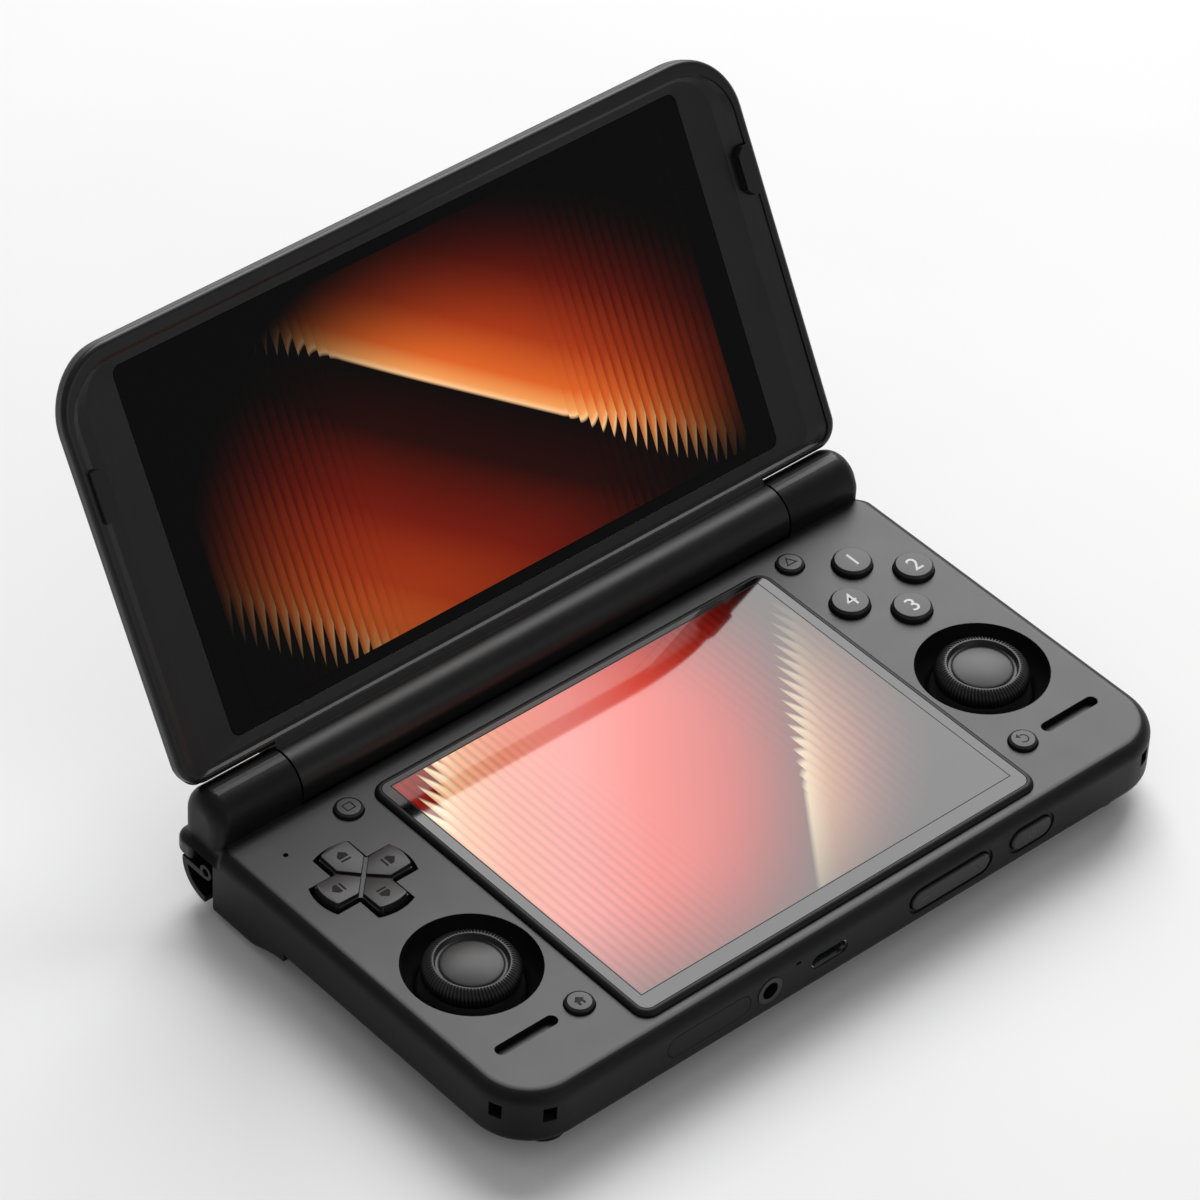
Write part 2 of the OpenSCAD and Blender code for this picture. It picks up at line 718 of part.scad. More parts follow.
module bottom_cover() {
    vent_pitch = 3.4;
    color(case_black) placed() difference() {
        union() {
            difference() {
                bottom_outer();
                bottom_cavity();
            }
            for (p = post_places) translate([p[0] - post_w / 2, p[1] - post_w / 2, floor_z - hair])
                cube([post_w, post_w, board_top_z - board_t - floor_z + hair]);
        }
        shoulder_pockets();
        for (p = screw_places) translate([p[0], p[1], front_bottom_z - overlap]) {
            cylinder(r = screw_r, h = 5);
            cylinder(r = screw_head_r, h = overlap + screw_head_t + screw_sink);
        }
        for (i = [-5 : 5]) translate([i * vent_pitch - 0.7, -5, 0]) cube([1.4, 7, 3]);
    }
}

module screen_trim() {
    low = deck_z - trim_seat;
    bevel = glass_rise - 0.1;
    color(case_black) placed() translate([0, lower_mid_y, 0]) difference() {
        union() {
            translate([0, 0, low]) linear_extrude(trim_seat + 0.1)
                rounded_rect(trim_out_w, -trim_out_d / 2, trim_out_d / 2,
                    glass_corner_r + trim_w, glass_corner_r + trim_w);
            slab(trim_out_w, -trim_out_d / 2, trim_out_d / 2, low, trim_seat + glass_rise,
                glass_corner_r + trim_w, glass_corner_r + trim_w, bevel, hair);
        }
        translate([0, 0, deck_z + glass_rise - glass_t]) linear_extrude(5)
            rounded_rect(trim_in_w, -trim_in_d / 2, trim_in_d / 2, glass_corner_r, glass_corner_r);
        translate([0, 0, low - overlap]) linear_extrude(5)
            rounded_rect(lower_glass_w - 2 * trim_lip, -lower_glass_d / 2 + trim_lip,
                lower_glass_d / 2 - trim_lip, 1, 1);
    }
}

module lower_glass() {
    color([0.55, 0.56, 0.58]) placed() translate([0, lower_mid_y, deck_z + glass_rise - glass_t])
        linear_extrude(glass_t)
        rounded_rect(lower_glass_w, -lower_glass_d / 2, lower_glass_d / 2, glass_corner_r, glass_corner_r);
}

module lower_display() {
    top_z = deck_z + glass_rise - glass_t;
    w = lower_glass_w - 2 * panel_inset;
    d = lower_glass_d - 2 * panel_inset;
    color([0.15, 0.15, 0.16]) placed() translate([-w / 2, lower_mid_y - d / 2, top_z - panel_t])
        cube([w, d, panel_t]);
}

// Outline of the board, with room for the sticks, the battery's posts and the case bosses
module board_outline() {
    difference() {
        union() {
            translate([-board_middle_x, board_front_y])
                square([2 * board_middle_x, -board_rear_reach - board_front_y]);
            translate([-board_front_x, -small_front_reach - 6.9]) square([2 * board_front_x, 12]);
            translate([-board_side_x, -group_reach - 12]) square([2 * board_side_x, 28]);
        }
        for (side = [-1, 1]) translate([side * stick_x, -stick_reach]) circle(r = well_throat_r + 3.2);
        for (p = screw_places) translate(p) circle(r = boss_r + 0.4);
        translate([usb_x - usb_w / 2 - 0.1, front_y - 3.6]) square([usb_w + 0.2, 11.2]);
        translate([jack_x - 3.1, front_y - 3.6]) square([6.2, 17.2]);
        for (button = [[volume_x, volume_len], [power_x, power_len]])
            translate([button[0] - button[1] / 2 - 1.6, front_y - 3.6]) square([button[1] + 3.2, 8.6]);
    }
}

module main_board() {
    color(board_green) placed() difference() {
        union() {
            translate([0, 0, board_top_z - board_t]) linear_extrude(board_t) board_outline();
            for (p = small_places()) translate([p[0], p[1], board_top_z - hair])
                cylinder(r = 1.6, h = dome_switch_top_z - board_top_z + hair);
            translate([-group_x, -group_reach, board_top_z - hair])
                cylinder(r = 2, h = pad_ball_z - 0.1 - board_top_z + hair);
            translate([4, -60, board_top_z - hair]) cube([15, 15, 1.2]);
            translate([-20, -58, board_top_z - hair]) cube([12, 10, 1]);
        }
        translate([-group_x, -group_reach, pad_ball_z]) sphere(r = pad_ball_r + pad_ball_gap);
    }
}

module battery() {
    color([0.25, 0.27, 0.30]) placed() translate([0, 0, floor_z])
        linear_extrude(board_top_z - board_t - 0.4 - floor_z) rounded_rect(battery_w, battery_front_y, battery_rear_y, 1.5, 1.5);
}

module speaker_box(side) {
    w = 15.4;
    d = 6.4;
    h = 3.4;
    color([0.12, 0.12, 0.12]) placed() translate([side * speaker_x - w / 2, -speaker_reach - d / 2, roof_z - h])
        cube([w, d, h]);
}

module speaker_left() {
    speaker_box(-1);
}

module speaker_right() {
    speaker_box(1);
}

module usb_socket() {
    depth = 6.6;
    shell_t = 0.32;
    color(steel) placed() translate([usb_x, front_y + 0.3, port_z]) {
        difference() {
            pill(usb_w, usb_h, depth);
            translate([0, -overlap, 0]) pill(usb_w - 2 * shell_t, usb_h - 2 * shell_t, depth + overlap - 0.6);
        }
        translate([-3.3, 1.2, -0.35]) cube([6.6, depth - 1.3, 0.7]);
    }
}

module headphone_socket() {
    body = 5.8;
    depth = 13;
    color([0.08, 0.08, 0.08]) placed() translate([jack_x, front_y, port_z]) difference() {
        union() {
            translate([0, -0.15, 0]) rotate([-90, 0, 0]) cylinder(r = jack_collar_r, h = wall_t + 0.2);
            translate([-body / 2, wall_t, -body / 2]) cube([body, depth - wall_t, body]);
        }
        translate([0, -1.15, 0]) rotate([-90, 0, 0]) cylinder(r = jack_r, h = depth);
    }
}

module card_reader() {
    w = 14;
    d = 15;
    h = 1.4;
    color(steel) placed() translate([door_x, wall_in_y + 0.3, board_top_z]) difference() {
        translate([-w / 2, 0, 0]) cube([w, d, h]);
        translate([-5.6, -overlap, 0.25]) cube([11.2, d - 0.8, 0.9]);
    }
}

module card_door() {
    gap = 0.12;
    color(case_black) placed() translate([door_x, front_y, port_z])
        pill(door_len - 2 * gap, door_h - 2 * gap, door_t);
}

// Side button with a flange behind the wall
module side_button(x, len) {
    color(button_grey) placed() translate([x, front_y, port_z]) {
        translate([0, -side_button_proud, 0]) pill(len, side_button_h, wall_t + side_button_proud + 0.3);
        translate([0, wall_t + 0.25, 0]) pill(len + 1.6, side_button_h + 1, 1);
        translate([0, wall_t + 1.2, 0]) pill(len - 3, 2.4, 0.8);
    }
}

module volume_rocker() {
    side_button(volume_x, volume_len);
}

module power_button() {
    side_button(power_x, power_len);
}

module hinge_cartridge(side) {
    inner = lid_barrel_half + barrel_end_gap;
    color(steel) placed() translate([side * (inner + 0.1), 0, axis_z]) rotate([0, side * 90, 0]) difference() {
        cylinder(r = cartridge_r, h = cartridge_len - 0.1);
        translate([0, 0, -overlap]) cylinder(r = hinge_shaft_r + running_gap, h = hinge_shaft_reach + 0.4 + overlap);
    }
}

module hinge_cartridge_left() {
    hinge_cartridge(-1);
}

module hinge_cartridge_right() {
    hinge_cartridge(1);
}

module feet() {
    front_h = front_bottom_z;
    color(rubber_black) placed() for (side = [-1, 1]) {
        translate([side * front_foot_x, front_foot_y, 0]) rotate_extrude() {
            square([foot_r - 0.6, front_h]);
            translate([0, 0.6]) square([foot_r, front_h - 0.6]);
            translate([foot_r - 0.6, 0.6]) circle(r = 0.6);
        }
        translate([side * rear_foot_x, rear_foot_y, 0]) cylinder(r = foot_r, h = foot_t);
    }
}

module case_screws() {
    color(steel) placed() for (p = screw_places) translate([p[0], p[1], front_bottom_z + screw_sink]) difference() {
        union() {
            cylinder(r = screw_head_r - 0.1, h = screw_head_t);
            cylinder(r = screw_r, h = 4.6);
        }
        translate([0, 0, -overlap]) cylinder(r = 0.7, h = overlap + 0.35, $fn = 6);
    }
}

module direction_membrane() {
    color([0.35, 0.35, 0.36]) placed() translate([-group_x, -group_reach, board_top_z]) difference() {
        union() {
            linear_extrude(membrane_t) pad_outline(pad_arm, 4.4);
            for (quarter = [0 : 3]) rotate(90 * quarter) translate([6.6, 0, 0])
                cylinder(r = 2, h = membrane_dome_top_z - board_top_z);
        }
        translate([0, 0, -overlap]) cylinder(r = 2.4, h = 6);
    }
}

module button_membrane() {
    color([0.35, 0.35, 0.36]) placed() translate([0, 0, board_top_z]) {
        translate([group_x, -group_reach, 0]) linear_extrude(membrane_t) pad_outline(pad_arm + 1, 4);
        for (i = [0 : 3]) translate(face_place(i))
            cylinder(r = 2.2, h = membrane_dome_top_z - board_top_z);
    }
}

module direction_pivot() {
    color(steel) placed() translate([-group_x, -group_reach, pad_ball_z]) sphere(r = pad_ball_r);
}

module direction_pad() {
    edge = 0.35;
    groove_w = 0.7;
    color(button_grey) placed() translate([-group_x, -group_reach, 0]) difference() {
        union() {
            translate([0, 0, pad_flange_top_z - hair]) linear_extrude(deck_z + button_rise - edge - pad_flange_top_z + hair)
                pad_outline(pad_arm, pad_half);
            translate([0, 0, deck_z + button_rise - edge - hair]) linear_extrude(edge + hair)
                pad_outline(pad_arm - edge, pad_half - edge);
            translate([0, 0, pad_flange_top_z - pad_flange_t]) linear_extrude(pad_flange_t)
                pad_outline(pad_arm + 0.9, pad_half + 1);
            translate([0, 0, pad_ball_z + 0.2]) cylinder(r = 2.2, h = 2);
            for (quarter = [0 : 3]) rotate(90 * quarter) translate([6.6, 0, deck_z - 4.1])
                cylinder(r = 1.4, h = 1.2);
        }
        translate([0, 0, pad_ball_z]) sphere(r = pad_ball_r + pad_ball_gap);
        for (turn = [45, 135]) rotate(turn) translate([-4.6, -groove_w / 2, deck_z + button_rise - 0.4])
            cube([9.2, groove_w, 2]);
    }
}

// Round button with a rounded top, a flange under the deck and a foot over its switch
module round_button(p, r, rise, foot_z) {
    edge = 0.35;
    top_z = deck_z + rise;
    flange_z = roof_z - flange_gap - flange_t;
    color(button_grey) placed() translate([p[0], p[1], 0]) rotate_extrude() {
        translate([0, flange_z]) square([r, top_z - edge - flange_z]);
        translate([0, flange_z]) square([r - edge, top_z - flange_z]);
        translate([r - edge, top_z - edge]) circle(r = edge);
        translate([0, flange_z]) square([r + 0.85, flange_t]);
        translate([0, foot_z]) square([r - 1.2, flange_z - foot_z + 0.1]);
    }
}

module button_one() {
    round_button(face_place(0), face_r, button_rise, button_foot_z);
}

module button_two() {
    round_button(face_place(1), face_r, button_rise, button_foot_z);
}

module button_three() {
    round_button(face_place(2), face_r, button_rise, button_foot_z);
}

module button_four() {
    round_button(face_place(3), face_r, button_rise, button_foot_z);
}

module select_button() {
    round_button(small_places()[0], small_r, small_rise, small_foot_z);
}

module start_button() {
    round_button(small_places()[1], small_r, small_rise, small_foot_z);
}

module home_button() {
    round_button(small_places()[2], small_r, small_rise, small_foot_z);
}

module return_button() {
    round_button(small_places()[3], small_r, small_rise, small_foot_z);
}

// Everything on a stick is drawn about its pivot
module at_stick(side) {
    placed() translate([side * stick_x, -stick_reach, pivot_z]) children();
}

module stick_module(side) {
    low = floor_z - pivot_z;
    color([0.09, 0.09, 0.09]) at_stick(side) difference() {
        translate([-module_w / 2, -module_w / 2, low]) cube([module_w, module_w, module_h]);
        translate([-module_w / 2 + module_wall, -module_w / 2 + module_wall, low + module_floor])
            cube([module_w - 2 * module_wall, module_w - 2 * module_wall, module_h]);
        translate([-module_w, 0, 0]) rotate([0, 90, 0]) cylinder(r = trunnion_r + running_gap, h = 2 * module_w);
    }
}

module stick_yoke(side) {
    reach = module_w / 2 - 0.2;
    color(steel) at_stick(side) difference() {
        union() {
            translate([0, 0, -yoke_half_h]) cylinder(r = yoke_out_r, h = 2 * yoke_half_h);
            for (end = [-1, 1]) translate([end * (yoke_out_r - 0.4), 0, 0]) rotate([0, end * 90, 0])
                cylinder(r = trunnion_r, h = reach - yoke_out_r + 0.4);
            for (end = [-1, 1]) translate([-1, end * (yoke_out_r + yoke_in_r) / 2 - 0.6, -0.8]) cube([2, 1.2, 1.6]);
        }
        translate([0, 0, -2]) cylinder(r = yoke_in_r, h = 4);
        translate([0, 10, 0]) rotate([90, 0, 0]) cylinder(r = trunnion_r + running_gap, h = 20);
    }
}

module stick_cradle(side) {
    color([0.75, 0.75, 0.77]) at_stick(side) difference() {
        union() {
            translate([0, 0, -0.9]) cylinder(r = cradle_r, h = 2.2);
            for (end = [-1, 1]) translate([0, end * (cradle_r - 0.4), 0]) rotate([-end * 90, 0, 0])
                cylinder(r = trunnion_r, h = yoke_out_r - cradle_r + 0.3);
        }
        translate([0, 0, -2]) cylinder(r = post_r + running_gap, h = 5);
    }
}

// Post with the dust dome that closes the bottom of the well
module stick_post(side) {
    disc_low = cap_bottom_z - pivot_z - dome_t;
    color(case_black) at_stick(side) {
        rotate_extrude($fn = 96) intersection() {
            difference() {
                circle(r = dome_r);
                circle(r = dome_r - dome_t);
            }
            translate([0, dome_edge_rise]) square([20, cap_bottom_z - pivot_z - dome_edge_rise]);
        }
        translate([0, 0, disc_low]) cylinder(r = sqrt(pow(dome_r - dome_t / 2, 2) - pow(disc_low + dome_t, 2)), h = dome_t);
        translate([0, 0, -0.6]) cylinder(r = post_r, h = deck_z - pivot_z + 0.2);
    }
}

module stick_cap(side) {
    top = deck_z + cap_rise - pivot_z;
    low = cap_bottom_z - pivot_z;
    rim_x = cap_r - cap_rim_r;
    dish_r = 6.1;
    dish_sag = 0.7;
    dish_ball = (pow(dish_r, 2) + pow(dish_sag, 2)) / (2 * dish_sag);
    color(button_grey) at_stick(side) difference() {
        rotate_extrude($fn = 96) intersection() {
            union() {
                square([rim_x, top]);
                translate([rim_x, top - cap_rim_r]) circle(r = cap_rim_r);
            }
            translate([0, low]) square([20, top - low]);
        }
        translate([0, 0, top - 0.25 - dish_sag + dish_ball]) sphere(r = dish_ball, $fn = 128);
        translate([0, 0, top - 0.25]) cylinder(r = dish_r, h = 1, $fn = 96);
        translate([0, 0, top - 0.8]) difference() {
            cylinder(r = dish_r + 0.35, h = 1, $fn = 96);
            translate([0, 0, -1]) cylinder(r = dish_r, h = 3, $fn = 96);
        }
        translate([0, 0, low - overlap]) cylinder(r = post_r, h = deck_z - pivot_z - 0.4 - low + overlap);
    }
}

module stick_module_left() {
    stick_module(-1);
}

module stick_yoke_left() {
    stick_yoke(-1);
}

module stick_cradle_left() {
    stick_cradle(-1);
}

module stick_post_left() {
    stick_post(-1);
}

module stick_cap_left() {
    stick_cap(-1);
}

module stick_module_right() {
    stick_module(1);
}

module stick_yoke_right() {
    stick_yoke(1);
}

module stick_cradle_right() {
    stick_cradle(1);
}

module stick_post_right() {
    stick_post(1);
}

module stick_cap_right() {
    stick_cap(1);
}

module shoulder_pins() {
    color(steel) placed() for (side = [-1, 1]) {
        translate([side * bumper_pivot_x, bumper_pivot_y, bumper_low_z - 0.3])
            cylinder(r = shoulder_pin_r, h = bumper_h + 2.2);
        translate([side * (shoulder_x - 1.2), trigger_pin_y, trigger_pin_z]) rotate([0, side * 90, 0])
            cylinder(r = shoulder_pin_r, h = trigger_pin_len);
    }
}

module bumper(side) {
    inner = shoulder_x + 0.4;
    outer = side_x - 0.4;
    color(button_grey) placed() mirror([side < 0 ? 1 : 0, 0, 0]) difference() {
        translate([(inner + outer) / 2, 0, 0])
            slab(outer - inner, bumper_front_y, rear_y + bumper_out, bumper_low_z, bumper_h, 1, 3.2, 0.9, 0.5);
        translate([bumper_pivot_x, bumper_pivot_y, bumper_low_z - 1])
            cylinder(r = shoulder_pin_r + running_gap, h = bumper_h + 4);
    }
}

module bumper_left() {
    bumper(-1);
}

module bumper_right() {
    bumper(1);
}

// Section of a trigger about its pin: a plate under the bumper and a curved blade.
// Beside the rib it starts behind the rib; elsewhere it reaches a hub round the pin.
module trigger_section(hub) {
    blade_r = 6.6;
    blade_t = 1.4;
    rib_clear = 2.2;
    if (hub) circle(r = 1.6);
    difference() {
        translate([0.2, -1]) intersection() {
            circle(r = blade_r, $fn = 96);
            difference() {
                translate([0, -blade_r]) square([blade_r, blade_r + 0.6]);
                intersection() {
                    circle(r = blade_r - blade_t, $fn = 96);
                    translate([-1, -blade_r]) square([blade_r, blade_r - 0.7]);
                }
            }
        }
        if (!hub) translate([-1, -2.4]) square([rib_clear + 1, 4]);
    }
}

module trigger(side) {
    inner = shoulder_x + 0.4;
    outer = side_x - 0.6;
    rib_in = trigger_rib_x - trigger_rib_w / 2 - 0.3;
    rib_out = trigger_rib_x + trigger_rib_w / 2 + 0.3;
    color(button_grey) placed() mirror([side < 0 ? 1 : 0, 0, 0])
        translate([0, trigger_pin_y, trigger_pin_z]) difference() {
            rotate([90, 0, 90]) {
                translate([0, 0, rib_in - hair]) linear_extrude(rib_out - rib_in + 2 * hair) trigger_section(false);
                translate([0, 0, inner]) linear_extrude(rib_in - inner) trigger_section(true);
                translate([0, 0, rib_out]) linear_extrude(outer - rib_out) trigger_section(true);
            }
            translate([shoulder_x - 2, 0, 0]) rotate([0, 90, 0])
                cylinder(r = shoulder_pin_r + running_gap, h = trigger_pin_len + 4);
        }
}

module trigger_left() {
    trigger(-1);
}

module trigger_right() {
    trigger(1);
}

// The lid is drawn closed: y = -reach from the axis, z = depth behind the plane of its glass
module lid_outer() {
    slab(lid_w, -lid_reach, -heel_reach, -rim_h, rim_h + lid_back_t,
        lid_corner_r, lid_heel_r, lid_back_edge_r, rim_edge_r);
}

module lid_behind_seam() {
    translate([-lid_w, -lid_reach - 5, lid_seam]) cube([2 * lid_w, lid_reach + 20, 20]);
}

module lid_before_seam() {
    translate([-lid_w, -lid_reach - 5, lid_seam - 20]) cube([2 * lid_w, lid_reach + 20, 20]);
}

module lid_barrel_bar(r) {
    translate([-lid_barrel_half, 0, -glass_set_back]) rotate([0, 90, 0]) cylinder(r = r, h = 2 * lid_barrel_half);
}

// Inside of the lid behind its seam, shrunk by a gap where the bezel's tongue fills it
module lid_cavity_outline(gap) {
    rounded_rect(lid_w - 2 * lid_cavity_inset - 2 * gap, -lid_reach + lid_cavity_inset + gap,
        -lid_cavity_near - gap, lid_corner_r - lid_cavity_inset - gap, 1);
}

module lid_back_cover() {
    color(case_black) placed() on_lid() difference() {
        union() {
            intersection() {
                lid_outer();
                lid_behind_seam();
            }
            translate([-lid_barrel_half, -lid_cavity_near, lid_seam])
                cube([2 * lid_barrel_half, lid_cavity_near, lid_back_t - lid_seam]);
        }
        lid_barrel_bar(barrel_r);
        translate([0, 0, -5]) linear_extrude(5 + lid_back_t - lid_wall_t) lid_cavity_outline(0);
    }
}

// Outline of the bezel's face, shrinking from the rim's crest to the glass as t goes from 0 to 1
module bezel_outline(t) {
    w = crest_w + (upper_glass_w + 2 * glass_gap - crest_w) * t;
    far = crest_reach + (upper_glass_reach + upper_glass_h + glass_gap - crest_reach) * t;
    near = crest_heel + (upper_glass_reach - glass_gap - crest_heel) * t;
    rounded_rect(w, -far, -near,
        crest_corner_r + (glass_corner_r - crest_corner_r) * t,
        crest_heel_r + (glass_corner_r - crest_heel_r) * t);
}

// The bezel's face is hollow: steep beside the crest and nearly flat beside the glass
module bezel_hollow() {
    steps = [[0, crest_depth], [0.14, 0.5], [0.36, 0.2], [1, 0.05]];
    translate([0, 0, -5]) linear_extrude(5 - crest_depth) bezel_outline(0);
    for (i = [0 : 2]) hull() {
        translate([0, 0, -steps[i][1] - hair]) linear_extrude(hair, $fn = 32) bezel_outline(steps[i][0]);
        translate([0, 0, -steps[i + 1][1] - hair]) linear_extrude(hair, $fn = 32) bezel_outline(steps[i + 1][0]);
    }
}

module lid_bezel() {
    ledge = 4;
    color(deck_grey) placed() on_lid() difference() {
        union() {
            intersection() {
                lid_outer();
                lid_before_seam();
            }
            translate([-lid_barrel_half, -heel_reach - 2, -rim_h])
                cube([2 * lid_barrel_half, heel_reach + 2, rim_h + lid_seam]);
            lid_barrel_bar(barrel_r);
            translate([0, 0, lid_seam - 0.3]) linear_extrude(0.3 + tongue_t) lid_cavity_outline(tongue_gap);
        }
        bezel_hollow();
        translate([0, 0, -5]) linear_extrude(5 + lid_seam)
            rounded_rect(upper_glass_w + 2 * glass_gap, -upper_glass_reach - upper_glass_h - glass_gap,
                -upper_glass_reach + glass_gap, glass_corner_r, glass_corner_r);
        translate([0, 0, -5]) linear_extrude(10)
            rounded_rect(upper_glass_w - 2 * ledge, -upper_glass_reach - upper_glass_h + 1,
                -upper_glass_reach - 1, 1, 1);
        for (side = [-1, 1]) translate([side * (lid_barrel_half + overlap), 0, -glass_set_back])
            rotate([0, -side * 90, 0]) cylinder(r = hinge_shaft_r, h = hinge_shaft_reach + overlap);
        pad_recesses();
    }
}

// Outline of a closing pad: long, with chamfered inner corners
module closing_pad_outline(side, grow) {
    w = 3;
    chamfer = 1.4;
    half = pad_len / 2 + grow;
    out = side * (pad_out_x + 0.3 + grow);
    in = side * (pad_out_x - w - grow);
    polygon([
        [out, -pad_reach - half], [in + side * chamfer, -pad_reach - half], [in, -pad_reach - half + chamfer],
        [in, -pad_reach + half - chamfer], [in + side * chamfer, -pad_reach + half], [out, -pad_reach + half]
    ]);
}

module pad_recesses() {
    for (side = [-1, 1]) translate([0, 0, -rim_h - pad_rise]) linear_extrude(rim_h + pad_rise + pad_sink)
        closing_pad_outline(side, 0);
}

module closing_pads() {
    color(rubber_black) placed() on_lid() for (side = [-1, 1]) translate([0, 0, -rim_h - pad_rise])
        linear_extrude(rim_h + pad_rise + pad_sink) closing_pad_outline(side, -0.05);
}

module upper_glass() {
    color([0.04, 0.04, 0.045]) placed() on_lid() translate([0, 0, lid_seam - glass_t + 0.1])
        linear_extrude(glass_t - 0.1)
        rounded_rect(upper_glass_w, -upper_glass_reach - upper_glass_h, -upper_glass_reach,
            glass_corner_r, glass_corner_r);
}

module upper_display() {
    w = upper_glass_w - 10;
    far = upper_glass_reach + upper_glass_h - 1.5;
    near = lid_cavity_near + 0.3;
    color([0.15, 0.15, 0.16]) placed() on_lid()
        translate([-w / 2, -far, lid_seam]) cube([w, far - near, panel_t]);
}

module hinge_shaft(side) {
    color(steel) placed() translate([side * (lid_barrel_half - hinge_shaft_reach), 0, axis_z])
        rotate([0, side * 90, 0])
        cylinder(r = hinge_shaft_r, h = 2 * hinge_shaft_reach + barrel_end_gap);
}

module hinge_shaft_left() {
    hinge_shaft(-1);
}

module hinge_shaft_right() {
    hinge_shaft(1);
}

deck_cover();
bottom_cover();
screen_trim();
lower_glass();
lower_display();
main_board();
battery();
speaker_left();
speaker_right();
usb_socket();
headphone_socket();
card_reader();
card_door();
volume_rocker();
power_button();
hinge_cartridge_left();
hinge_cartridge_right();
feet();
case_screws();
direction_membrane();
button_membrane();
direction_pivot();
direction_pad();
button_one();
button_two();
button_three();
button_four();
select_button();
start_button();
home_button();
return_button();
stick_module_left();
stick_yoke_left();
stick_cradle_left();
stick_post_left();
stick_cap_left();
stick_module_right();
stick_yoke_right();
stick_cradle_right();
stick_post_right();
stick_cap_right();
shoulder_pins();
bumper_left();
bumper_right();
trigger_left();
trigger_right();
lid_back_cover();
lid_bezel();
upper_glass();
upper_display();
closing_pads();
hinge_shaft_left();
hinge_shaft_right();
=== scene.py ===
"""Looks of the clamshell handheld game console: finishes for its CAD pieces, knurled stick caps,
rounded buttons with printed numerals and with near-black signs that are painted groove shade, lit screens, studio
light and the photograph's camera."""

import math

import bmesh
import bpy
from mathutils import Matrix, Vector


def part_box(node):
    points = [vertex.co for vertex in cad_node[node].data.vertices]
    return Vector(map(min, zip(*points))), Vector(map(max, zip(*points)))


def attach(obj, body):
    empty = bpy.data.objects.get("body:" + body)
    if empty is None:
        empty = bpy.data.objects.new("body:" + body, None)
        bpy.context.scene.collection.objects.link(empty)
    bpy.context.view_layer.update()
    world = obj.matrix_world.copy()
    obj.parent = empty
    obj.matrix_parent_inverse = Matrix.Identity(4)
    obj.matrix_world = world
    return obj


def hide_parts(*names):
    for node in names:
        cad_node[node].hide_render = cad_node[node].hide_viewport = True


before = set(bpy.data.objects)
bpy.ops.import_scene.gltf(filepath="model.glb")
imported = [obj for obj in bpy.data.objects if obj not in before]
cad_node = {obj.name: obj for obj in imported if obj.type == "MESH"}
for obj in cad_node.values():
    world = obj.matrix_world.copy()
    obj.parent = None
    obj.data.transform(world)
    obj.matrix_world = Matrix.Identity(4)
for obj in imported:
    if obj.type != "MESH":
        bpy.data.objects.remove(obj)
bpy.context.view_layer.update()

MM = 0.001
DECK_Z = 16.6  # height of the deck, in mm
LID_TURN = math.radians(118.8 - 180)  # lays the standing lid's length along the picture's Y
HINGE = Vector((0, 22.4175, 19.1))  # hinge axis, in mm
LID_REACH = Vector((0, 0.48175, 0.87631))  # from the hinge to the lid's free edge
LID_BACK = Vector((0, 0.87631, -0.48175))  # from the upper glass to the lid's back
FACE_BUTTONS = ("button_one", "button_two", "button_three", "button_four")
SMALL_BUTTONS = ("select_button", "start_button", "home_button", "return_button")
MARK_H = 0.02  # thickness of a printed mark, in mm
PRINT_LIFT = Vector((0, 0, 0.006 * MM))  # the numerals' middle lies above a button's top, a dark mark's foot below
FACING_FRONT = Matrix.Rotation(math.radians(90), 4, "X")


# ---------------------------------------------------------------- shapes

def finished(mesh, name, body, finish, smooth_angle=35):
    """Ends a piece: normals outwards, smooth faces with sharp edges kept, finish, body and material slot."""
    bmesh.ops.remove_doubles(mesh, verts=mesh.verts, dist=1e-6)
    bmesh.ops.recalc_face_normals(mesh, faces=mesh.faces)
    data = bpy.data.meshes.new(name)
    mesh.to_mesh(data)
    mesh.free()
    data.shade_smooth()
    data.set_sharp_from_angle(angle=math.radians(smooth_angle))
    piece = bpy.data.objects.new(name, data)
    bpy.context.scene.collection.objects.link(piece)
    data.materials.append(finish)
    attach(piece, body)
    return piece


def turned(profile, steps):
    """A round solid spun about the Z axis from its half section, given as (radius, height) pairs."""
    mesh = bmesh.new()
    line = [mesh.verts.new((radius, 0, height)) for radius, height in profile]
    edges = [mesh.edges.new(pair) for pair in zip(line, line[1:])]
    bmesh.ops.spin(mesh, geom=line + edges, cent=(0, 0, 0), axis=(0, 0, 1), angle=math.tau,
                   steps=steps, use_merge=True)
    bmesh.ops.remove_doubles(mesh, verts=mesh.verts, dist=1e-7)
    return mesh


def arc(centre, radius, start, end, steps):
    """Points on an arc in a section plane, with its angles in degrees."""
    return [(centre[0] + radius * math.cos(math.radians(start + (end - start) * i / steps)),
             centre[1] + radius * math.sin(math.radians(start + (end - start) * i / steps)))
            for i in range(steps + 1)]


def thickened(mesh, height):
    """Gives the flat faces of a bmesh a thickness along Z."""
    walls = bmesh.ops.extrude_face_region(mesh, geom=mesh.faces[:])
    bmesh.ops.translate(mesh, verts=[v for v in walls["geom"] if isinstance(v, bmesh.types.BMVert)],
                        vec=(0, 0, height))
    return mesh


def plate(outline, height):
    """A flat solid with the given outline of (x, y) points, standing on z = 0."""
    mesh = bmesh.new()
    mesh.faces.new([mesh.verts.new((x, y, 0)) for x, y in outline])
    thickened(mesh, height)
    bmesh.ops.recalc_face_normals(mesh, faces=mesh.faces)
    return mesh


def rounded_edges(mesh, picked, width, segments):
    """Rounds the edges that the function picked chooses."""
    bmesh.ops.bevel(mesh, geom=[e for e in mesh.edges if picked(e)], offset=width, offset_type="OFFSET",
                    affect="EDGES", segments=segments, profile=0.5, material=-1, clamp_overlap=True)


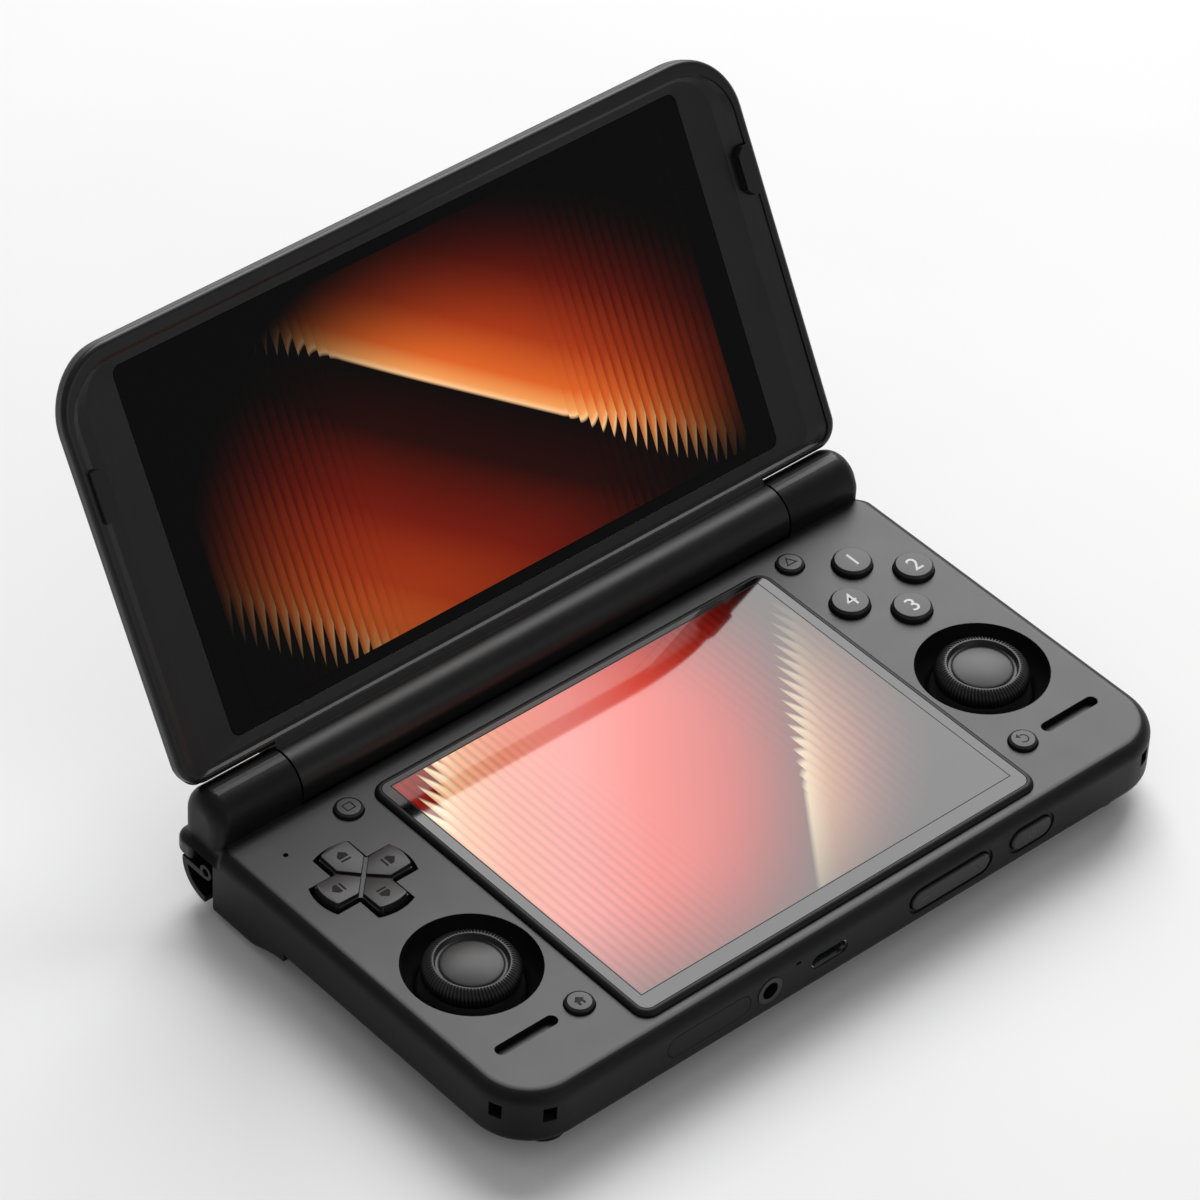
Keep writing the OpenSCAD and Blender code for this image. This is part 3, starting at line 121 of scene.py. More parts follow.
def moved(mesh, place, turn=None):
    """Turns a bmesh about the origin and then moves it to its place."""
    if turn is not None:
        bmesh.ops.transform(mesh, matrix=turn, verts=mesh.verts)
    bmesh.ops.translate(mesh, vec=place, verts=mesh.verts)
    return mesh


def metres(mesh, place, turn=None):
    """Brings a bmesh drawn in mm to metres and to its place."""
    bmesh.ops.scale(mesh, vec=(MM, MM, MM), verts=mesh.verts)
    return moved(mesh, place, turn)


def top_of(node):
    """Middle of a CAD node seen from above, at the height of its top."""
    low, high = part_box(node)
    return Vector(((low.x + high.x) / 2, (low.y + high.y) / 2, high.z))


# ---------------------------------------------------------------- finishes

def linear(code):
    """Scene colour of an sRGB hex code."""
    parts = [int(code[i:i + 2], 16) / 255 for i in (1, 3, 5)]
    return (*[c / 12.92 if c <= 0.04045 else ((c + 0.055) / 1.055) ** 2.4 for c in parts], 1)


def shader_node(tree, kind, inputs=None, **settings):
    """Adds a shader node. An input given as a socket is linked, and anything else is its value."""
    made = tree.nodes.new(kind)
    for name, value in settings.items():
        setattr(made, name, value)
    for name, value in (inputs or {}).items():
        if isinstance(value, bpy.types.NodeSocket):
            tree.links.new(value, made.inputs[name])
        else:
            made.inputs[name].default_value = value
    return made


def new_finish(name):
    """An empty material with its Principled shader, and the tree and coordinates to build on."""
    finish = bpy.data.materials.new(name)
    finish.use_nodes = True
    tree = finish.node_tree
    tree.nodes.clear()
    shader = shader_node(tree, "ShaderNodeBsdfPrincipled")
    shader_node(tree, "ShaderNodeOutputMaterial", {"Surface": shader.outputs[0]})
    place = shader_node(tree, "ShaderNodeTexCoord").outputs["Object"]
    return finish, tree, shader, place


def link(tree, source, socket):
    tree.links.new(source, socket)


def stops(ramp, *colours):
    """Sets a colour ramp's stops from (position, hex code) pairs."""
    elements = ramp.color_ramp.elements
    while len(elements) > 1:
        elements.remove(elements[-1])
    for i, (position, code) in enumerate(colours):
        stop = elements[0] if i == 0 else elements.new(position)
        stop.position = position
        stop.color = linear(code)
    return ramp


PATCHES = 140.0  # noise scale of tone and gloss, for patches of about 7 mm
PATCHY = 0.015  # how far the roughness strays from its mean


def moulded(name, dark, light, roughness, grain, depth, specular=0.5, edge=0.16):
    """Moulded plastic or rubber: two near tones, a grain of the given size and depth in mm, slightly
    patchy gloss, and edges that catch the light over the given width in mm."""
    finish, tree, shader, place = new_finish(name)
    cloud = shader_node(tree, "ShaderNodeTexNoise", {"Vector": place, "Scale": PATCHES, "Detail": 3.0})
    speckle = shader_node(tree, "ShaderNodeTexNoise",
                          {"Vector": place, "Scale": 1 / (grain * MM), "Detail": 2.0, "Roughness": 0.6})
    tone = stops(shader_node(tree, "ShaderNodeValToRGB", {"Fac": cloud.outputs["Fac"]}),
                 (0.3, dark), (0.7, light))
    gloss = shader_node(tree, "ShaderNodeMapRange",
                        {"Value": cloud.outputs["Fac"], "From Min": 0.3, "From Max": 0.7,
                         "To Min": roughness - PATCHY, "To Max": roughness + PATCHY})
    soft_edge = shader_node(tree, "ShaderNodeBevel", {"Radius": edge * MM}, samples=6)
    bump = shader_node(tree, "ShaderNodeBump",
                       {"Height": speckle.outputs["Fac"], "Strength": 0.5, "Distance": depth * MM,
                        "Normal": soft_edge.outputs["Normal"]})
    link(tree, tone.outputs["Color"], shader.inputs["Base Color"])
    link(tree, gloss.outputs["Result"], shader.inputs["Roughness"])
    link(tree, bump.outputs["Normal"], shader.inputs["Normal"])
    shader.inputs["Specular IOR Level"].default_value = specular
    return finish


THROW_RISE = 22  # width over which the reeds come in beside the calm middle, in mm
REED_DARK, REED_BRIGHT = 0.72, 1.06  # brightness between two reeds and on a reed
LINE_DULL = 0.7  # roughness that the line round the panel adds


def lit_glass(name, middle, turn, picture):
    """Cover glass over a lit panel: black ink round the panel, a dull line at its edge, and a picture of
    soft folded silk seen through reeded glass, in black, deep red, orange and cream."""
    finish, tree, shader, place = new_finish(name)
    half_w, half_h = picture["half_size"]
    flat = shader_node(tree, "ShaderNodeMapping",  # from here on in mm, from the picture's middle
                       {"Vector": place, "Rotation": turn, "Scale": (1 / MM, 1 / MM, 1 / MM),
                        "Location": [-c / MM for c in middle]})
    xyz = shader_node(tree, "ShaderNodeSeparateXYZ", {"Vector": flat.outputs[0]})

    def calc(operation, first, second=0.0, third=0.0):
        made = shader_node(tree, "ShaderNodeMath", {0: first, 1: second, 2: third}, operation=operation)
        return made.outputs[0]

    from_middle_x = calc("ABSOLUTE", xyz.outputs["X"])
    from_middle_y = calc("ABSOLUTE", xyz.outputs["Y"])

    def inside(extra):
        """1 within the panel grown by extra mm, else 0."""
        return calc("MULTIPLY", calc("LESS_THAN", from_middle_x, half_w + extra),
                    calc("LESS_THAN", from_middle_y, half_h + extra))

    # reeds: each strip shows its own slice of the folds, more so towards the picture's sides
    reed = calc("FRACT", calc("MULTIPLY", xyz.outputs["X"], 1 / picture["reed"]))
    throw = shader_node(tree, "ShaderNodeMapRange",
                        {"Value": from_middle_x, "From Min": picture["calm"],
                         "From Max": picture["calm"] + THROW_RISE, "To Min": 0.0, "To Max": picture["throw"]},
                        interpolation_type="SMOOTHSTEP")
    slice_x = calc("MULTIPLY_ADD", calc("SUBTRACT", reed, 0.5), throw.outputs[0], xyz.outputs["X"])
    slices = shader_node(tree, "ShaderNodeCombineXYZ", {"X": slice_x, "Y": xyz.outputs["Y"]})
    # silk: broad folds that bend slowly, each with a bright crest and a long dark back
    bent = shader_node(tree, "ShaderNodeMapping",
                       {"Vector": slices.outputs[0], "Rotation": (0, 0, picture["lean"])})
    folds = shader_node(tree, "ShaderNodeTexWave",
                        {"Vector": bent.outputs[0], "Scale": picture["fold"], "Distortion": picture["bend"],
                         "Detail": 1.0, "Detail Scale": 0.55, "Detail Roughness": 0.4,
                         "Phase Offset": picture["start"]},
                        wave_type="BANDS", bands_direction="X", wave_profile="SAW")
    silk = stops(shader_node(tree, "ShaderNodeValToRGB", {"Fac": folds.outputs["Fac"]}), *picture["silk"])
    ridge = shader_node(tree, "ShaderNodeMapRange",
                        {"Value": calc("PINGPONG", reed, 0.5), "From Max": 0.5,
                         "To Min": REED_DARK, "To Max": REED_BRIGHT})
    smooth_or_ridged = shader_node(tree, "ShaderNodeMapRange",
                                   {"Value": throw.outputs[0], "From Max": picture["throw"], "To Min": 1.0,
                                    "To Max": ridge.outputs[0]})
    # the glow that the folds come out of, fading to black round it
    round_glow = shader_node(tree, "ShaderNodeMapping",
                             {"Vector": flat.outputs[0], "Location": (*picture["glow_at"], 0),
                              "Scale": (*[1 / c for c in picture["glow"]], 0)})
    glow = shader_node(tree, "ShaderNodeTexGradient", {"Vector": round_glow.outputs[0]},
                       gradient_type="SPHERICAL")
    fade = shader_node(tree, "ShaderNodeMapRange",
                       {"Value": glow.outputs["Fac"], "From Min": 0.0, "From Max": picture["soft"]},
                       interpolation_type="SMOOTHSTEP")
    level = calc("MULTIPLY", calc("MULTIPLY", smooth_or_ridged.outputs[0], fade.outputs[0]), inside(0))
    shown = shader_node(tree, "ShaderNodeVectorMath", {0: silk.outputs["Color"], "Scale": level},
                        operation="SCALE")
    # the panel's edge shows through the ink as a thin dull line
    line = calc("SUBTRACT", inside(0.3), inside(0.1))
    ink = stops(shader_node(tree, "ShaderNodeValToRGB", {"Fac": line}), (0.0, "#060606"), (1.0, "#000000"))
    smear = shader_node(tree, "ShaderNodeTexNoise", {"Vector": place, "Scale": 60.0, "Detail": 4.0})
    gloss = shader_node(tree, "ShaderNodeMapRange",
                        {"Value": smear.outputs["Fac"], "To Min": 0.02, "To Max": 0.05})
    link(tree, ink.outputs["Color"], shader.inputs["Base Color"])
    link(tree, calc("MULTIPLY_ADD", line, LINE_DULL, gloss.outputs[0]), shader.inputs["Roughness"])
    link(tree, shown.outputs[0], shader.inputs["Emission Color"])
    shader.inputs["Emission Strength"].default_value = 1.0
    shader.inputs["Specular IOR Level"].default_value = picture["specular"]
    return finish


def metal(name, colour, roughness, brush):
    """Bare steel with fine drawn lines, brush being their size along X, Y and Z in mm."""
    finish, tree, shader, place = new_finish(name)
    lines = shader_node(tree, "ShaderNodeTexNoise", {
        "Vector": shader_node(tree, "ShaderNodeMapping",
                              {"Vector": place, "Scale": [1 / (b * MM) for b in brush]}).outputs[0],
        "Scale": 1.0, "Detail": 2.0})
    gloss = shader_node(tree, "ShaderNodeMapRange", {"Value": lines.outputs["Fac"],
                                                    "To Min": roughness - 0.08, "To Max": roughness + 0.08})
    bump = shader_node(tree, "ShaderNodeBump",
                       {"Height": lines.outputs["Fac"], "Strength": 0.3, "Distance": 0.01 * MM})
    shader.inputs["Base Color"].default_value = linear(colour)
    shader.inputs["Metallic"].default_value = 1.0
    link(tree, gloss.outputs[0], shader.inputs["Roughness"])
    link(tree, bump.outputs[0], shader.inputs["Normal"])
    return finish


# Black ABS from a spark-eroded tool: fine dry grain, a soft broad sheen
deck_plastic = moulded("spark_eroded_abs_deck", "#1b1b1c", "#1f1f20", 0.41, 0.3, 0.01, specular=0.38)
# The same ABS on the outer covers and the deck's walls, in a darker, drier copy: its darker tone is painted shade
case_plastic_painted_shade = moulded("spark_eroded_abs_case_painted_shade", "#111112", "#151516", 0.44, 0.3, 0.01, specular=0.17)
# ABS of the lid's face in a darker copy: its darker tone is painted shade for the dim side of the studio that the
# face sees
lid_plastic_painted_shade = moulded("spark_eroded_abs_lid_face_painted_shade", "#131313", "#161616", 0.34, 0.3, 0.008, specular=0.32)
# Buttons moulded in polished tools and lightly vapour blasted: satin
button_plastic = moulded("satin_abs_buttons", "#19191a", "#1d1d1e", 0.38, 0.2, 0.004, specular=0.36)
# Soft rubber moulded over the stick caps
stick_rubber = moulded("overmoulded_rubber_stick", "#131313", "#171717", 0.42, 0.15, 0.006, specular=0.42)
# Feet and closing pads: die-cut rubber, quite dull
pad_rubber = moulded("die_cut_rubber", "#0e0e0e", "#131313", 0.62, 0.2, 0.02, specular=0.35)
# Black nylon of the sockets, speakers and stick modules
module_plastic = moulded("black_nylon", "#0b0b0c", "#101011", 0.42, 0.4, 0.01)
# Polished acetal of the dust domes under the stick caps, which the caps' rims slide over
dome_plastic = moulded("polished_acetal_dome", "#1a1a1b", "#1e1e1f", 0.3, 0.3, 0.004, specular=0.55)
# Milky grey silicone of the domes under the buttons
silicone = moulded("grey_silicone", "#5d5d5f", "#686869", 0.5, 0.5, 0.01)
# Green solder mask over copper on glass fibre
board_laminate = moulded("green_solder_mask", "#0c3a22", "#10472a", 0.3, 0.8, 0.02)
# Aluminium film round the battery pouch
battery_wrap = moulded("battery_pouch_film", "#55585d", "#5f6268", 0.35, 1.5, 0.03)
# Rear plate of the display panels
panel_back = moulded("display_back_plate", "#26262a", "#2d2d31", 0.4, 1.0, 0.01)
# Drawn steel of shells, pins and screws
steel = metal("drawn_steel", "#a8a9ab", 0.28, (4, 0.08, 0.08))
# White ink of the numerals, printed with a soft pad: flat, slightly chalky
white_print = moulded("white_pad_print", "#c9c9c9", "#d2d2d2", 0.5, 0.15, 0.004)
# Grey ink of the signs on the two side buttons, hardly lighter than the plastic
grey_print = moulded("grey_pad_print", "#3a3a3b", "#424243", 0.5, 0.15, 0.004)
# Near-black marks: black ink of the direction pad's pointers, and on the small buttons painted shade for the
# grooves of their engraved signs
dark_print_and_groove_shade = moulded("dark_print_and_painted_groove_shade", "#040404", "#060606", 0.6, 0.15, 0.004, specular=0.2)

# Pictures on the panels, sizes in mm: half_size is half the panel, reed a reed's width, calm the half width
# without reeds, throw how far a reed shifts its slice, fold, bend, lean and start the folds' scale, waviness,
# direction and phase, glow_at, glow and soft the bright area's middle, half size and fade, silk the colours
# from a fold's back to its crest
UPPER_PICTURE = {
    "half_size": (60.88, 34.25), "specular": 0.15,
    "reed": 2.1, "calm": 20, "throw": -13, "fold": 0.0062, "bend": 3.2, "lean": math.radians(118),
    "start": 0.4, "glow_at": (-0.05, 0.18), "glow": (68, 48), "soft": 0.66,
    "silk": ((0.0, "#070000"), (0.22, "#240401"), (0.5, "#701607"), (0.74, "#a93813"), (0.9, "#de6426"),
             (0.97, "#f59f58"), (0.988, "#ffca92"), (1.0, "#1c0200"))}
LOWER_PICTURE = {
    "half_size": (45.4, 34.6), "specular": 0.42,
    "reed": 1.9, "calm": 10, "throw": -6, "fold": 0.0046, "bend": 2.6, "lean": math.radians(212),
    "start": 1.7, "glow_at": (0.3, -0.2), "glow": (78, 60), "soft": 0.6,
    "silk": ((0.0, "#7a0f06"), (0.2, "#b82414"), (0.42, "#d84a3c"), (0.62, "#e07870"), (0.8, "#e78c74"),
             (0.93, "#f0b088"), (0.985, "#ffe2b8"), (1.0, "#4c0803"))}
glass_low, glass_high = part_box("upper_glass")
upper_middle = Matrix.Rotation(LID_TURN, 3, "X") @ ((glass_low + glass_high) / 2)
# Coated glass of the upper screen, which mirrors little
upper_glass = lit_glass("upper_screen_glass", upper_middle, (LID_TURN, 0, 0), UPPER_PICTURE)
lower_middle = top_of("lower_glass") + Vector((0, 1.1 * MM, 0))  # the panel sits a little towards the hinge
# Plain polished glass of the lower screen, which mirrors the key light
lower_glass = lit_glass("lower_screen_glass", lower_middle, (0, 0, 0), LOWER_PICTURE)

CAD_FINISH = {
    deck_plastic: ("deck_cover",),
    lid_plastic_painted_shade: ("lid_bezel",),
    case_plastic_painted_shade: ("bottom_cover", "lid_back_cover", "screen_trim", "card_door", "trigger_left",
                   "trigger_right"),
    button_plastic: ("bumper_left", "bumper_right"),
    upper_glass: ("upper_glass",),
    lower_glass: ("lower_glass",),
    panel_back: ("lower_display", "upper_display"),
    board_laminate: ("main_board",),
    battery_wrap: ("battery",),
    module_plastic: ("speaker_left", "speaker_right", "headphone_socket", "stick_module_left",
                     "stick_module_right"),
    dome_plastic: ("stick_post_left", "stick_post_right"),
    steel: ("usb_socket", "card_reader", "hinge_cartridge_left", "hinge_cartridge_right", "case_screws",
            "shoulder_pins", "direction_pivot", "stick_yoke_left", "stick_yoke_right",
            "stick_cradle_left", "stick_cradle_right", "hinge_shaft_left", "hinge_shaft_right"),
    pad_rubber: ("feet", "closing_pads"),
    silicone: ("direction_membrane", "button_membrane"),
}
for finish, names in CAD_FINISH.items():
    for name in names:
        cad_node[name].data.materials.clear()
        cad_node[name].data.materials.append(finish)


# ---------------------------------------------------------------- sticks

def stick_cap(side):
    """Stick cap with a domed middle, a sunk ring round it and a rounded rim of slanted knurls."""
    node = f"stick_cap_{side}"
    low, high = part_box(node)
    top, bottom = high.z / MM, low.z / MM
    rim_r = 2.25  # rounding of the rim
    rim_x, rim_z = (high.x - low.x) / 2 / MM - rim_r, top - rim_r
    under = math.degrees(math.asin((bottom - rim_z) / rim_r))  # angle where the rim meets the foot
    dome_r, dome_edge, crown = 5.75, top - 0.82, 0.78  # the middle's radius, edge height and rise
    ball = (dome_r ** 2 + crown ** 2) / (2 * crown)  # radius of the ball that the middle is cut from
    profile = [(1.6, bottom), (5, bottom), (rim_x + rim_r * math.cos(math.radians(under)) - 0.1, bottom)]
    profile += arc((rim_x, rim_z), rim_r, under + 3, 90, 22)
    profile += [(rim_x - 0.12, top - 0.03), (rim_x - 0.2, top - 0.12), (rim_x - 0.38, top - 0.95)]
    profile += [(rim_x - 0.5, top - 1.05), (dome_r + 0.2, top - 1.05), (dome_r + 0.1, dome_edge - 0.1)]
    profile += [(dome_r + 0.02, dome_edge - 0.02)]
    profile += [(r, dome_edge + crown - ball + math.sqrt(ball ** 2 - r ** 2))
                for r in (5.65, 5.2, 4.6, 3.8, 3, 2, 1, 0)]
    teeth, samples, depth = 78, 8, 0.36  # knurls, points round each, and their depth
    slant = 1.2  # how far a knurl turns along the rim
    mesh = turned(profile, teeth * samples)
    first, last = under + 6, 86  # the knurls' ends on the rim, in degrees
    for v in mesh.verts:
        r = math.hypot(v.co.x, v.co.y)
        tilt = math.degrees(math.atan2(v.co.z - rim_z, r - rim_x))
        if r > rim_x + 0.01 and first < tilt < last:
            share = min(1, (tilt - first) / 8, (last - tilt) / 12)
            ridge = abs(math.sin(teeth / 2 * math.atan2(v.co.y, v.co.x) + math.radians(tilt) * slant))
            sink = depth * share * (1 - ridge)
            pull = (r - sink * math.cos(math.radians(tilt))) / r
            v.co.x *= pull
            v.co.y *= pull
            v.co.z -= sink * math.sin(math.radians(tilt))
    middle = top_of(node)
    metres(mesh, (middle.x, middle.y, 0))
    cap = finished(mesh, f"knurled_stick_cap_{side}", f"stick_top_{side}", stick_rubber, 60)
    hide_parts(node)


for side in ("left", "right"):
    stick_cap(side)


# ---------------------------------------------------------------- buttons

FLANGE = 0.85  # how far a round button's flange reaches past its wall, in mm
SHOULDER = 0.2  # rounding where the wall starts to lean in, in mm


def round_button(node, drop, lean, edge):
    """Round button with a flange under the deck and a flat top. The last drop mm of its wall lean in by
    lean mm, and its upper edge is rounded by edge mm."""
    low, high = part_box(node)
    top, foot = high.z / MM, low.z / MM
    r = (high.x - low.x) / 2 / MM - FLANGE
    flange = DECK_Z - 1.65
    profile = [(0, foot), (r - 1.2, foot), (r - 1.2, flange - 1), (r + FLANGE, flange - 1),
               (r + FLANGE, flange), (r, flange), (r, top - drop - edge)]
    profile += arc((r - SHOULDER, top - drop - edge), SHOULDER, 12, 60, 4)
    profile += arc((r - lean - edge, top - edge), edge, 30, 90, 6) + [(0, top)]
    mesh = turned(profile, 96)
    middle = top_of(node)
    metres(mesh, (middle.x, middle.y, 0))
    button = finished(mesh, f"rounded_{node}", node, button_plastic, 50)
    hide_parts(node)


for name in FACE_BUTTONS:
    round_button(name, 0.35, 0.3, 0.22)
for name in SMALL_BUTTONS:
    round_button(name, 0.2, 0.4, 0.16)


def printed(mesh, name, body, finish, place, turn=0.0):
    """Puts a flat mark, drawn in mm and turned by degrees, on a surface that faces up."""
    metres(mesh, place, Matrix.Rotation(math.radians(turn), 4, "Z"))
    finished(mesh, name, body, finish, 30)


def numeral(node, digit):
    """A plain printed numeral in the middle of a face button."""
    text = bpy.data.curves.new(f"digit_{digit}", "FONT")
    text.body, text.align_x, text.align_y, text.resolution_u = digit, "CENTER", "CENTER", 6
    text.size, text.extrude, text.offset = 5.0, 0.012, 0.03  # font size, half thickness and boldness, in mm
    holder = bpy.data.objects.new(text.name, text)
    bpy.context.scene.collection.objects.link(holder)
    bpy.context.view_layer.update()
    flat = bpy.data.meshes.new_from_object(holder.evaluated_get(bpy.context.evaluated_depsgraph_get()))
    bpy.data.objects.remove(holder)
    mesh = bmesh.new()
    mesh.from_mesh(flat)
    xs, ys = [v.co.x for v in mesh.verts], [v.co.y for v in mesh.verts]
    moved(mesh, (-(min(xs) + max(xs)) / 2, -(min(ys) + max(ys)) / 2, 0))
    printed(mesh, f"numeral_on_{node}", node, white_print, top_of(node) + PRINT_LIFT)


for name, digit in zip(FACE_BUTTONS, "1234"):
    numeral(name, digit)


def frame_mark(outline, inner):
    """Flat closed line between an outline and the same outline scaled by inner."""
    mesh = bmesh.new()
    loops = []
    for scale in (1, inner):
        corners = [mesh.verts.new((x * scale, y * scale, 0)) for x, y in outline]
        loops += [mesh.edges.new(pair) for pair in zip(corners, corners[1:] + corners[:1])]
    bmesh.ops.bridge_loops(mesh, edges=loops)
    return thickened(mesh, MARK_H)


def ring_mark(radius, width, start, sweep):
    """Flat open ring that starts at one angle and sweeps through another, both in degrees."""
    mesh = bmesh.new()
    near, far = [mesh.verts.new((radius + way * width / 2, 0, 0)) for way in (-1, 1)]
    edge = mesh.edges.new((near, far))
    bmesh.ops.rotate(mesh, verts=mesh.verts, cent=(0, 0, 0),
                     matrix=Matrix.Rotation(math.radians(start), 3, "Z"))
    bmesh.ops.spin(mesh, geom=[near, far, edge], cent=(0, 0, 0), axis=(0, 0, 1),
                   angle=math.radians(sweep), steps=24)
    return thickened(mesh, MARK_H)


def merged(*meshes):
    """One bmesh out of several."""
    whole = bmesh.new()
    for mesh in meshes:
        data = bpy.data.meshes.new("part_of_a_mark")
        mesh.to_mesh(data)
        mesh.free()
        whole.from_mesh(data)
        bpy.data.meshes.remove(data)
    return whole


SQUARE = ((-1.05, -0.95), (1.05, -0.95), (1.05, 0.95), (-1.05, 0.95))
TRIANGLE = ((-1.35, -0.75), (1.35, -0.75), (0, 1.5))
HOUSE = ((-0.75, -1.0), (-0.25, -1.0), (-0.25, -0.3), (0.25, -0.3), (0.25, -1.0), (0.75, -1.0), (0.75, 0.1),
         (1.15, 0.1), (0, 1.2), (-1.15, 0.1), (-0.75, 0.1))
ARROW_HEAD = ((-0.2, 0.35), (-0.2, 1.65), (-1.05, 1.0))
SMALL_MARKS = {
    "square_on_select_button": lambda: frame_mark(SQUARE, 0.76),
    "triangle_on_start_button": lambda: frame_mark(TRIANGLE, 0.6),
    "house_on_home_button": lambda: plate(HOUSE, MARK_H),
    "arrow_on_return_button": lambda: merged(ring_mark(1.0, 0.26, -150, 240), plate(ARROW_HEAD, MARK_H)),
}
# The small buttons' signs are near-black sheets that paint the shade inside engraved grooves
for name, drawn in SMALL_MARKS.items():
    button = name.split("_on_")[1]
    printed(drawn(), name, button, dark_print_and_groove_shade, top_of(button) - PRINT_LIFT)


# ---------------------------------------------------------------- direction pad

PAD_ARM, PAD_HALF = 9.7, 3.6  # reach of the raised lobes from the middle and half their width, in mm
PAD_GROOVE = 0.85  # width of the groove between them
PAD_FALL = 0.42  # how much lower the pad's middle is than its ends
PAD_DRAFT = 0.88  # a lobe's size at its top against its foot
PAD_FLANGE_FOOT, PAD_CORE_FOOT, PAD_LOBE_FOOT = DECK_Z - 3.3, DECK_Z - 2.6, DECK_Z - 2.5


def pad_outline(arm, half, corner):
    """Outline of the pad: four arms whose ends lie on one circle, with rounded inner corners."""
    points = []
    end = math.degrees(math.asin(half / arm))
    for quarter in range(4):
        turn = 90 * quarter
        points += arc((0, 0), arm, turn - end, turn + end, 12)
        inner = arc((half + corner, half + corner), corner, 270, 180, 5)
        points += [(x * math.cos(math.radians(turn)) - y * math.sin(math.radians(turn)),
                    x * math.sin(math.radians(turn)) + y * math.cos(math.radians(turn))) for x, y in inner]
    return points


def pad_lobe(low, high):
    """One lobe of the pad, pointing along +X: its walls lean in, its end corners are round, and its top falls
    towards the middle of the pad."""
    end = math.degrees(math.asin(PAD_HALF / PAD_ARM))
    start = PAD_GROOVE / math.sqrt(2)
    shoulder = start + PAD_HALF  # where the lobe reaches its full width
    outline = [(start, 0), (shoulder, -PAD_HALF)] + arc((0, 0), PAD_ARM, -end, end, 16)
    outline += [(shoulder, PAD_HALF)]
    mesh = plate(outline, high - low)
    bmesh.ops.translate(mesh, vec=(0, 0, low), verts=mesh.verts)

    def end_corner(edge):
        one, other = (v.co for v in edge.verts)
        return (abs(one.z - other.z) > 0.1 and abs(abs(one.y) - PAD_HALF) < 0.01
                and one.x > shoulder + 0.1)

    def on_top(v):
        return v.co.z > high - 0.01

    rounded_edges(mesh, end_corner, 0.7, 5)
    still = 5  # the draft pulls in what lies further out than this
    for v in filter(on_top, mesh.verts):
        on_groove = abs(abs(v.co.y) - (v.co.x - start)) < 0.01
        v.co.y *= PAD_DRAFT
        if on_groove:
            v.co.x = start + abs(v.co.y)
        elif v.co.x > still:
            v.co.x = still + (v.co.x - still) * PAD_DRAFT
    rounded_edges(mesh, lambda e: all(map(on_top, e.verts))
                  and any(abs(f.normal.z) < 0.9 for f in e.link_faces), 0.26, 3)
    for v in mesh.verts:
        if v.co.z > high - 0.6:
            v.co.z -= PAD_FALL * (1 - v.co.x / PAD_ARM)
    return mesh


POINTER = ((5.6, -1.05), (6.4, -1.05), (7.35, 0), (6.4, 1.05), (5.6, 1.05))
POINTER_BAR = ((4.75, -1.05), (5.15, -1.05), (5.15, 1.05), (4.75, 1.05))
POINTER_H, POINTER_SINK = 0.06, 0.03  # thickness of a pointer, half of it sunk into the lobe


def direction_pad():
    """Pad with four raised lobes, a groove in an X between them, a pointer on each, and its flange."""
    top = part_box("direction_pad")[1].z / MM
    parts = []
    for quarter in range(4):
        parts.append(moved(pad_lobe(PAD_LOBE_FOOT, top), (0, 0, 0),
                           Matrix.Rotation(math.radians(90 * quarter), 4, "Z")))
    core = plate(pad_outline(9.2, 3.5, 0.8), top - 0.95 - PAD_CORE_FOOT)
    parts.append(moved(core, (0, 0, PAD_CORE_FOOT)))
    parts.append(moved(plate(pad_outline(10.6, 4.6, 0.6), 0.8), (0, 0, PAD_FLANGE_FOOT)))
    middle = top_of("direction_pad")
    whole = metres(merged(*parts), (middle.x, middle.y, 0))
    cross = finished(whole, "rounded_direction_pad", "direction_pad", button_plastic, 50)
    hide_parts("direction_pad")
    for quarter in range(4):
        mark = merged(plate(POINTER, POINTER_H), plate(POINTER_BAR, POINTER_H))
        for v in mark.verts:  # follows the lobe's slope
            v.co.z += -POINTER_SINK - PAD_FALL * (1 - v.co.x / PAD_ARM)
        printed(mark, f"pointer_{quarter + 1}_on_direction_pad", "direction_pad", dark_print_and_groove_shade, middle,
                90 * quarter)


direction_pad()


# ---------------------------------------------------------------- side buttons

SIDE_H = 4.4  # height of the side buttons, in mm
CAP_DEPTH = 2.4  # from a side button's face to the back of its cap
FLANGE_BACK, PLUNGER_BACK = 0.95, 1.7  # how far behind the cap's back the flange and the plunger end


def pill_outline(length, height):
    half = (length - height) / 2
    return arc((half, 0), height / 2, -90, 90, 14) + arc((-half, 0), height / 2, 90, 270, 14)


def side_button(node, length):
    """Long button in the front wall with a rounded edge, a flange inside the wall and a plunger.
    Returns the middle of its face."""
    low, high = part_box(node)
    face = Vector(((low.x + high.x) / 2, low.y, (low.z + high.z) / 2))
    cap = plate(pill_outline(length, SIDE_H), CAP_DEPTH)
    rounded_edges(cap, lambda e: all(v.co.z > CAP_DEPTH - 0.01 for v in e.verts), 0.45, 4)
    flange = moved(plate(pill_outline(length + 1.6, SIDE_H + 1), 1), (0, 0, -FLANGE_BACK))
    plunger = moved(plate(pill_outline(length - 3, 2.4), 0.8), (0, 0, -PLUNGER_BACK))
    mesh = moved(merged(cap, flange, plunger), (0, 0, -CAP_DEPTH))
    metres(mesh, face, FACING_FRONT)
    button = finished(mesh, f"rounded_{node}", node, button_plastic, 40)
    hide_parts(node)
    return face


def front_mark(mesh, name, body, place):
    """Puts a flat mark, drawn in mm, on a surface that faces the front, sunk in by 0.008 mm."""
    metres(mesh, place + Vector((0, 0.008 * MM, 0)), FACING_FRONT)
    finished(mesh, name, body, grey_print, 30)


def bar(length, width):
    """Flat bar round the origin."""
    x, y = length / 2, width / 2
    return plate([(-x, -y), (x, -y), (x, y), (-x, y)], MARK_H)


